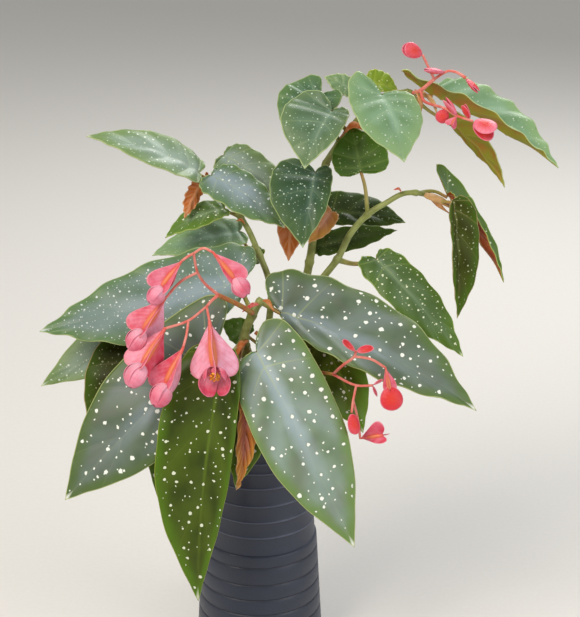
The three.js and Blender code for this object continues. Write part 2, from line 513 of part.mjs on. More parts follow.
for (const [name, leaf] of Object.entries(LEAVES)) {
  addMesh(`leaf_${name}`, bladeGeometry(leaf), 'leaf');
}

for (const [name, { stalks, blooms }] of Object.entries(SPRAYS)) {
  const stems = stalks.map(({ path, radii }) => stem(path, radii, SPRAY_STALK_SIDES));
  addMesh(`spray_${name}`, join([...stems, ...blooms.flatMap(bloom)]), 'flower');
}

export default plant;
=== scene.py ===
# %% [markdown]
# # A potted cane begonia
# The object is a houseplant: four jointed canes that carry thin, lop-sided leaves and three hanging flower
# sprays, standing in a tall ribbed stoneware pot. A plant like this could be sculpted freehand, but every
# leaf here grows from one rule with its own measures, so that a leaf can be moved or widened by changing
# one number. All measures below are in millimetres, and become metres as they reach Blender.

# %% Load the fixed frame
import random
from functools import partial
from math import atan, cos, hypot, pi, radians, sin, sqrt

import bpy
import numpy as np
from mathutils import Matrix, Vector


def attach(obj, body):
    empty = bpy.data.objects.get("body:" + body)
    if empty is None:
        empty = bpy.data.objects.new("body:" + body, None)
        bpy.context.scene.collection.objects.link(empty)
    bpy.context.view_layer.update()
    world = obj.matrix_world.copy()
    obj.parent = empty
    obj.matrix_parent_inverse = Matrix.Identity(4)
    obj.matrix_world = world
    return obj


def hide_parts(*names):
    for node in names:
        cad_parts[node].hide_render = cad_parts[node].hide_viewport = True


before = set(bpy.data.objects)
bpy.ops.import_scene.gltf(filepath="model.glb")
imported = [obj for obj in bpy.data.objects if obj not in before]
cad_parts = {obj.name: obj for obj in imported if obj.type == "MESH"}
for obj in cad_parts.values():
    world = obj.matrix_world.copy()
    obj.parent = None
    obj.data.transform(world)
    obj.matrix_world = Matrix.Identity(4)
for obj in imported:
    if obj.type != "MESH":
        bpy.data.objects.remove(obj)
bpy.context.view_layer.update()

MM = 0.001

# %% [markdown]
# The camera comes first, because every later judgement is made through it. It looks down on the plant by
# 20 degrees from about a metre away, as a person does who stands before a low table. Its lens could be given
# as a focal length, but the angle of view follows straight from the picture's height, so that is used.

# %% Camera
IMAGE_HEIGHT = 617
FOCAL_PIXELS = 1587
CAMERA_TILT = radians(20)
CAMERA_DISTANCE = 1030
CAMERA_TARGET = (21, 0, 244)

camera_place = (
    CAMERA_TARGET[0] * MM,
    (CAMERA_TARGET[1] - CAMERA_DISTANCE * cos(CAMERA_TILT)) * MM,
    (CAMERA_TARGET[2] + CAMERA_DISTANCE * sin(CAMERA_TILT)) * MM,
)
bpy.ops.object.camera_add(location=camera_place, rotation=(radians(90) - CAMERA_TILT, 0, 0))
camera = bpy.context.object
camera.data.sensor_fit = "VERTICAL"
camera.data.angle = 2 * atan(IMAGE_HEIGHT / 2 / FOCAL_PIXELS)
camera.data.clip_start = 0.05
bpy.context.scene.camera = camera
print("camera stands at", [round(v, 3) for v in camera_place])

# %% [markdown]
# Materials are node trees. Clicking nodes together is how they are made by hand; here one small function
# does the same click: it adds a node, sets its options and plugs in its wires. A colour is written as the
# hex code that a colour picker shows, and one function turns it into the linear light values that Blender
# calculates with. A pattern's scale says how often it repeats in a metre, so that 500 gives 2 mm.

# %% Node and colour helpers
MAIN_CHOICE = {
    "Attribute": "attribute_name", "MapRange": "interpolation_type", "Math": "operation", "Mix": "data_type",
    "TexNoise": "noise_dimensions", "TexVoronoi": "voronoi_dimensions", "UVMap": "uv_map",
    "VectorMath": "operation",
}


def linear(code):
    """Linear red, green, blue and alpha of an sRGB hex colour."""
    channels = [int(code[i:i + 2], 16) / 255 for i in (1, 3, 5)]
    return [c / 12.92 if c <= 0.04045 else ((c + 0.055) / 1.055) ** 2.4 for c in channels] + [1]


def add_node(tree, kind, wires=(), out=None, **settings):
    """Adds one node and gives back its output named out, or else the first one in use.

    A second word in kind is the node's main choice, as in "Math ADD". wires gives another node's output, a
    hex colour or a plain value to each socket, by its name or number, or in order from the first.
    """
    kind, _, choice = kind.partition(" ")
    node = tree.nodes.new("ShaderNode" + kind)
    if choice:
        settings[MAIN_CHOICE[kind]] = choice
    for name, value in settings.items():
        setattr(node, name, value)
    for socket, source in wires.items() if isinstance(wires, dict) else enumerate(wires):
        if isinstance(source, bpy.types.NodeSocket):
            tree.links.new(source, node.inputs[socket])
        else:
            node.inputs[socket].default_value = linear(source) if isinstance(source, str) else source
    return node.outputs[out] if out else next((socket for socket in node.outputs if socket.enabled), None)


def new_material(name, shown):
    """A material with an empty tree that the solid view shows in one colour, and what adds its nodes."""
    material = bpy.data.materials.new(name)
    material.use_nodes = True
    material.diffuse_color = linear(shown)
    material.node_tree.nodes.clear()
    return material, partial(add_node, material.node_tree)


print("white is", linear("#FFFFFF"))

# %% [markdown]
# The stage is a wide sheet of matt paper with a faint 3 mm grain. Its only task is to catch a soft shadow.
# The light is a studio's: a large lamp high on the left for form, a weaker one from the right to open the
# shadows, one from behind to draw the leaf edges, and a pale surrounding.

# %% Stage and light
PAPER_SIZE = 12000

bpy.ops.mesh.primitive_plane_add(size=PAPER_SIZE * MM, location=(0, 0, 0))
paper = bpy.context.object
paper.name = "stage_paper"
paper_finish, add = new_material("matt_paper", "#D9D7D2")
where = add("TexCoord", out="Object")
grain = add("TexNoise", {"Vector": where, "Scale": 300})
tint = add("Mix RGBA", {0: grain, 6: "#D6D4CF", 7: "#DCDAD6"})
shader = add("BsdfPrincipled", {"Base Color": tint, "Roughness": 0.9})
add("OutputMaterial", {"Surface": shader})
paper.data.materials.append(paper_finish)

world = bpy.data.worlds.new("pale_room")
world.use_nodes = True
world.node_tree.nodes["Background"].inputs["Color"].default_value = linear("#EEEEEC")
world.node_tree.nodes["Background"].inputs["Strength"].default_value = 0.5
bpy.context.scene.world = world
bpy.context.scene.view_settings.view_transform = "Standard"


def soft_lamp(name, place, size, watts, colour):
    """A square lamp, turned towards the middle of the plant."""
    bpy.ops.object.light_add(type="AREA", location=[v * MM for v in place])
    lamp = bpy.context.object
    lamp.name = name
    lamp.data.size = size * MM
    lamp.data.energy = watts
    lamp.data.color = linear(colour)[:3]
    towards = Vector(CAMERA_TARGET) * MM - lamp.location
    lamp.rotation_euler = towards.to_track_quat("-Z", "Y").to_euler()


soft_lamp("key_lamp", (-900, -1100, 1500), 900, 26, "#FFF6EA")
soft_lamp("fill_lamp", (1300, -900, 700), 1000, 9, "#F4F5FA")
soft_lamp("back_lamp", (500, 1100, 1300), 700, 14, "#FFFFFF")

# %% [markdown]
# A piece is finished the same way every time: smooth shading, a material, the body it stands on, and the
# plain solid that it takes over from.

# %% Finishing helpers
def select_only(*pieces):
    """Selects these pieces and makes the first one active."""
    bpy.ops.object.select_all(action="DESELECT")
    for piece in pieces:
        piece.select_set(True)
    bpy.context.view_layer.objects.active = pieces[0]


def tidy_mesh(merge_mm=0, outward=False):
    """Merges points of the active mesh that nearly touch, and can turn its faces outwards."""
    bpy.ops.object.mode_set(mode="EDIT")
    bpy.ops.mesh.select_all(action="SELECT")
    if merge_mm:
        bpy.ops.mesh.remove_doubles(threshold=merge_mm * MM)
    if outward:
        bpy.ops.mesh.normals_make_consistent(inside=False)
    bpy.ops.object.mode_set(mode="OBJECT")


def read_points(mesh):
    """The mesh's points as rows of x, y and z."""
    points = np.zeros(len(mesh.vertices) * 3)
    mesh.vertices.foreach_get("co", points)
    return points.reshape(-1, 3)


def write_values(mesh, **values):
    """Gives the points of a mesh their values of each named attribute."""
    for name, numbers in values.items():
        mesh.attributes.new(name, "FLOAT", "POINT").data.foreach_set("value", numbers)


def thicken(piece, thickness, **settings):
    """Gives a sheet its thickness in mm, half of it on each side."""
    select_only(piece)
    modifier = piece.modifiers.new("thickness", "SOLIDIFY")
    for name, value in dict(settings, thickness=thickness * MM, offset=0).items():
        setattr(modifier, name, value)
    bpy.ops.object.modifier_apply(modifier=modifier.name)


def copy_shape(shape, matrix):
    """A copy of a piece, with a place of its own in its mesh."""
    copy = shape.copy()
    copy.data = copy.data.copy()
    bpy.context.collection.objects.link(copy)
    copy.data.transform(matrix)
    return copy


def one_piece(name, parts):
    """Joins several meshes into one piece."""
    select_only(*parts)
    if len(parts) > 1:
        bpy.ops.object.join()
    piece = bpy.context.object
    piece.name = name
    piece.data.name = name
    return piece


def finish_piece(piece, node, sharp_above=None):
    """Shades a piece and says what it is to the fixed frame."""
    select_only(piece)
    if sharp_above:
        bpy.ops.object.shade_smooth_by_angle(angle=radians(sharp_above))
    else:
        bpy.ops.object.shade_smooth()
    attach(piece, "root")
    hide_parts(node)
    print(piece.name, len(piece.data.polygons), "faces")


# %% [markdown]
# The pot is thrown stoneware. A lathe shape could be spun from a profile line, but drawing a ring upwards
# step by step is closer to how a potter raises a wall, and each ring stays a clean loop. Fine raised lines
# run round the narrower upper part and cut grooves round the wider lower part.

# %% Pot
POT_HEIGHT = 168
FOOT_RADIUS = 42.3
RIM_RADIUS = 33.4
WALL = 4
FLOOR = 6
BEADS = (159, 148.5, 141.5, 131, 118.5, 107, 96)
BEAD_RISE = 0.35
STEP = 83
STEP_OUT = 1.2
GROOVES = (74.5, 62, 51, 40, 29, 18)
GROOVE_DEPTH = 0.6
LINE_HALF = 1.1
POT_SIDES = 144
SOIL_TOP = 157


def wall_radius(height):
    """The wall's outer radius at a height, both in mm."""
    taper = FOOT_RADIUS + (RIM_RADIUS - FOOT_RADIUS) * height / POT_HEIGHT
    return taper + (STEP_OUT if height < STEP else 0)


def line_profile(height, rise):
    """A rounded line across the wall, raised or cut."""
    spots = ((-1, 0), (-0.55, 0.35), (-0.25, 0.85), (0, 1), (0.25, 0.85), (0.55, 0.35), (1, 0))
    return [(wall_radius(height + k * LINE_HALF) + rise * r, height + k * LINE_HALF) for k, r in spots]


profile = [(wall_radius(0) - 2, 0), (wall_radius(0) - 0.6, 0.5), (wall_radius(0), 2), (wall_radius(6), 6)]
for groove in sorted(GROOVES):
    profile += line_profile(groove, -GROOVE_DEPTH)
step_radius = wall_radius(STEP - 0.1)
profile += [(step_radius, STEP - 1.2), (step_radius - 0.15, STEP - 0.6), (step_radius - 0.5, STEP - 0.15)]
profile += [(wall_radius(STEP), STEP + 0.3), (wall_radius(STEP + 1.2), STEP + 1.2)]
for bead in sorted(BEADS):
    profile += line_profile(bead, BEAD_RISE)
outer = wall_radius(POT_HEIGHT)
profile += [(outer, POT_HEIGHT - 1.6), (outer - 0.15, POT_HEIGHT - 0.7), (outer - 0.6, POT_HEIGHT - 0.15)]
inner = outer - WALL
profile += [(outer - 1.4, POT_HEIGHT), (inner + 1.2, POT_HEIGHT), (inner + 0.3, POT_HEIGHT - 0.4)]
profile += [(inner, POT_HEIGHT - 1.4), (inner, SOIL_TOP - 5), (FOOT_RADIUS - WALL - 1, FLOOR)]
print("the pot's profile has", len(profile), "rings")

# %% [markdown]
# The profile is raised from a circle. Each step extrudes the last ring upwards and then widens or narrows
# it. The same small lathe will make the bed of soil.

# %% Raise the pot's wall
def lathe(profile, sides):
    """A closed bottom and a wall raised from it ring by ring; profile is radii and heights in mm.

    The new mesh is left in edit mode, with its top ring selected.
    """
    radius, height = profile[0]
    bpy.ops.mesh.primitive_circle_add(
        vertices=sides, radius=radius * MM, fill_type="NGON", location=(0, 0, height * MM)
    )
    bpy.ops.object.transform_apply(location=True, rotation=True, scale=True)
    bpy.ops.object.mode_set(mode="EDIT")
    bpy.ops.mesh.select_all(action="SELECT")
    for (radius, height), (next_radius, next_height) in zip(profile, profile[1:]):
        rise = (0, 0, (next_height - height) * MM)
        bpy.ops.mesh.extrude_region_move(TRANSFORM_OT_translate={"value": rise})
        grow = next_radius / radius
        bpy.ops.transform.resize(value=(grow, grow, 1), center_override=(0, 0, next_height * MM))
    return bpy.context.object


pot = lathe(profile, POT_SIDES)
bpy.ops.mesh.inset(thickness=(FOOT_RADIUS - WALL - 1) * 0.7 * MM, depth=0)
tidy_mesh(outward=True)
print("pot, mm:", [round(v / MM, 1) for v in pot.dimensions])

# %% [markdown]
# The clay is covered with a thin slate-blue glaze, fired semi-matt. Such a glaze breaks lighter where it
# thins over raised lines and stays darker in grooves, and both are also painted light here: a painted
# highlight on each raised line, painted shade in the grooves and a painted shadow line just below each
# raised line. Specks 2 mm apart come through from the clay, soft patches about 26 mm wide show where it was
# laid on thicker, throwing lines run round it every 1.4 mm, and its skin has pits of 1 mm. The height above
# the foot tells the shader where the bands are.

# %% Slate stoneware glaze
def line_mask(add, height, places, half_width):
    """1 on the lines at these heights and 0 between them."""
    mask = 0
    for place in places:
        line = add("Math COMPARE", (height, place * MM, half_width * MM))
        mask = add("Math MAXIMUM", (mask, line))
    return mask


stoneware, add = new_material("slate_stoneware_glaze", "#333A49")
where = add("TexCoord", out="Object")
height = add("SeparateXYZ", (where,), out="Z")
patches = add("TexNoise", {"Vector": where, "Scale": 38, "Detail": 3, "Roughness": 0.6})
glaze = add("Mix RGBA", {0: patches, 6: "#1E2433", 7: "#2C3447"})
# Raised lines get thin glaze plus a painted highlight; grooves get pooled glaze plus painted shade.
bead_mask = line_mask(add, height, BEADS, 0.55)
# A painted shadow line 1.1 mm below each raised line.
shadow_under_bead = line_mask(add, height, [bead - 1.1 for bead in BEADS], 0.5)
groove_mask = line_mask(add, height, GROOVES, 0.9)
thin = add("Math MULTIPLY", (bead_mask, 0.5))
broken_glaze_and_highlight = add("Mix RGBA", {0: thin, 6: glaze, 7: "#545C72"})
cut = add("Math MAXIMUM", (groove_mask, shadow_under_bead))
pooled_glaze_and_shade = add("Math MULTIPLY", (cut, 0.4))
dark = add("Mix RGBA", {0: pooled_glaze_and_shade, 6: broken_glaze_and_highlight, 7: "#191D27"})
speck = add("TexVoronoi", {"Vector": where, "Scale": 520})
fleck = add("MapRange", (speck, 0.22, 0.12, 0, 0.5))
speckled = add("Mix RGBA", {0: fleck, 6: dark, 7: "#14171D"})
satin = add("MapRange", (patches, 0.3, 0.7, 0.38, 0.52))
turning = add("Mapping", {"Vector": where, "Scale": (6, 6, 700)})
throwing = add("TexNoise", {"Vector": turning, "Scale": 1})
skin = add("TexNoise", {"Vector": where, "Scale": 900})
relief = add("Math ADD", (throwing, skin))
bump = add("Bump", {"Height": relief, "Strength": 0.18, "Distance": 0.25 * MM})
shader = add("BsdfPrincipled", {"Base Color": speckled, "Roughness": satin, "IOR": 1.52, "Normal": bump})
add("OutputMaterial", {"Surface": shader})
pot.data.materials.append(stoneware)
finish_piece(one_piece("pot_wall", [pot]), "pot", sharp_above=40)

# %% [markdown]
# The potting mix is dark peat with bits of bark and pale grit. The bed is a disc, inset ring by ring and
# pushed up and down; the bits are a few small shapes, modelled once, then copied, turned and sunk into it.

# %% Soil bed
INNER_RADIUS = RIM_RADIUS - WALL - 0.25
SOIL_RINGS = 14
SOIL_SIDES = 96
MOUND = 1.5
CROWN = 0.6

bed_profile = (
    (FOOT_RADIUS - WALL - 1.4, FLOOR + 0.4), (INNER_RADIUS, SOIL_TOP - 5), (INNER_RADIUS, SOIL_TOP - 1),
)
bed = lathe(bed_profile, SOIL_SIDES)
for _ in range(SOIL_RINGS):
    bpy.ops.mesh.inset(thickness=INNER_RADIUS / (SOIL_RINGS + 1) * MM, depth=0)
tidy_mesh(outward=True)


def mound(out):
    """How far the soil stands above its edge, in mm, at a part out of the way from the middle."""
    return MOUND * sin(pi * min(1, out)) + CROWN * (1 - out)


dice = random.Random(7)
for vertex in bed.data.vertices:
    if vertex.co.z > (SOIL_TOP - 1.5) * MM:
        out = hypot(vertex.co.x, vertex.co.y) / (INNER_RADIUS * MM)
        vertex.co.z += (mound(out) + dice.uniform(-0.5, 0.5) * (1 - out ** 4)) * MM
print("the bed of soil has", len(bed.data.vertices), "points")

# %% [markdown]
# The bits are round crumbs, flakes and splinters of a few millimetres. Most of the bed is hidden by leaves,
# so a rough icosphere is enough for each.

# %% Crumbs and bark
BIT_SIZES = ((0.9, 0.8, 0.7), (1.4, 1.0, 0.6), (2.6, 1.2, 0.7), (1.7, 1.5, 1.1))
BIT_COUNT = 260

bits = []
for size in BIT_SIZES:
    bpy.ops.mesh.primitive_ico_sphere_add(subdivisions=1, radius=MM)
    bit = bpy.context.object
    for vertex in bit.data.vertices:
        vertex.co = [c * s * dice.uniform(0.75, 1.2) for c, s in zip(vertex.co, size)]
    bits.append(bit)
scattered = []
for number in range(BIT_COUNT):
    reach = INNER_RADIUS * 0.95 * sqrt(dice.random())
    turn = dice.uniform(0, 2 * pi)
    lift = SOIL_TOP - 1 + mound(reach / INNER_RADIUS)
    place = Vector((reach * cos(turn), reach * sin(turn), lift)) * MM
    spin = Matrix.Rotation(dice.uniform(0, 6.3), 4, "Z") @ Matrix.Rotation(dice.uniform(-0.5, 0.5), 4, "X")
    matrix = Matrix.Translation(place) @ spin @ Matrix.Scale(dice.uniform(0.7, 1.3), 4)
    scattered.append(copy_shape(bits[number % len(bits)], matrix))
for bit in bits:
    bpy.data.objects.remove(bit)
soil = one_piece("soil_bed", [bed, *scattered])
print(BIT_COUNT, "bits lie on the soil")

# %% [markdown]
# Damp peat is nearly black and has no shine. Clumps of 4 mm make it lighter and darker, grains of 3 mm are
# here and there pale grit, and a 0.7 mm roughness breaks up the light.

# %% Peat and bark finish
peat, add = new_material("damp_peat_and_bark", "#2B2119")
where = add("TexCoord", out="Object")
clump = add("TexNoise", {"Vector": where, "Scale": 260, "Detail": 5, "Roughness": 0.7})
damp = add("Mix RGBA", {0: clump, 6: "#15100C", 7: "#4A3827"})
per_bit = add("TexVoronoi", {"Vector": where, "Scale": 330}, out="Color")
pick = add("SeparateColor", (per_bit,))
some = add("MapRange", (pick, 0.8, 0.84, 0, 0.8))
gritty = add("Mix RGBA", {0: some, 6: damp, 7: "#7C664C"})
fine = add("TexNoise", {"Vector": where, "Scale": 1400, "Detail": 3})
bump = add("Bump", {"Height": fine, "Strength": 0.6, "Distance": 0.5 * MM})
shader = add("BsdfPrincipled", {"Base Color": gritty, "Roughness": 0.95, "Normal": bump})
add("OutputMaterial", {"Surface": shader})
soil.data.materials.append(peat)
finish_piece(soil, "soil", sharp_above=30)

# %% [markdown]
# A leaf of this begonia is a lop-sided wing: the stalk meets the blade at one end of the midrib, one half
# is wider and runs back past the stalk in a lobe, and the veins spread like fingers. Two curves tell the
# whole story, one round each half. A smooth curve through a few knots is how a drawing program holds such
# an outline, and the same curve draws the stalks and canes later.

# %% Smooth curves
def smooth_curve(knots, part, by_distance=False):
    """Points of the curve through the knots, at parts 0 to 1 of the way."""
    knots = np.array(knots, float)
    ring = np.vstack([2 * knots[0] - knots[1], knots, 2 * knots[-1] - knots[-2]])
    place = np.clip(np.asarray(part, float), 0, 1) * (len(knots) - 1)
    span = np.minimum(place.astype(int), len(knots) - 2)
    t = (place - span)[:, None]
    before, start, end, after = (ring[span + k] for k in range(4))
    if by_distance:
        gap = [np.sqrt(np.linalg.norm(b - a, axis=1))[:, None] for a, b in
               ((before, start), (start, end), (end, after))]
        slope_in = (start - before) / gap[0] - (end - before) / (gap[0] + gap[1]) + (end - start) / gap[1]
        slope_out = (end - start) / gap[1] - (after - start) / (gap[1] + gap[2]) + (after - end) / gap[2]
        slope_in, slope_out = slope_in * gap[1], slope_out * gap[1]
    else:
        slope_in, slope_out = (end - before) / 2, (after - start) / 2
    return (start + slope_in * t + (3 * (end - start) - 2 * slope_in - slope_out) * t ** 2
            + (2 * (start - end) + slope_in + slope_out) * t ** 3)


# A half-blade's outline: part of the length, part of the half-width, and how far back in lobe lengths.
LOBED_SIDE = (
    (0, 0, 0), (0, 0.14, 0.55), (0, 0.45, 1), (0, 0.8, 0.7), (0.05, 0.97, 0),
    (0.25, 1, 0), (0.5, 0.92, 0), (0.72, 0.62, 0), (0.89, 0.25, 0), (1, 0, 0),
)
PLAIN_SIDE = (
    (0, 0, 0), (0.01, 0.16, 0.5), (0.05, 0.42, 1), (0.13, 0.67, 1), (0.25, 0.88, 0.5),
    (0.4, 1, 0), (0.57, 0.95, 0), (0.75, 0.66, 0), (0.9, 0.26, 0), (1, 0, 0),
)
FULL_LOBE = 0.1


def half_outline(part, length, width, lobe):
    """x and y of one half's edge, in mm, at parts 0 (stalk) to 1 (tip) of the way round."""
    lobed = min(1, lobe / (FULL_LOBE * length))
    mixed = (1 - lobed) * np.array(PLAIN_SIDE) + lobed * np.array(LOBED_SIDE)
    knots = np.stack([mixed[:, 0] * length - mixed[:, 2] * lobe, mixed[:, 1] * width], axis=1)
    return smooth_curve(knots, part)


print("middle of a 100 mm half-blade's edge:", half_outline([0.5], 100, 30, 12).round(1))
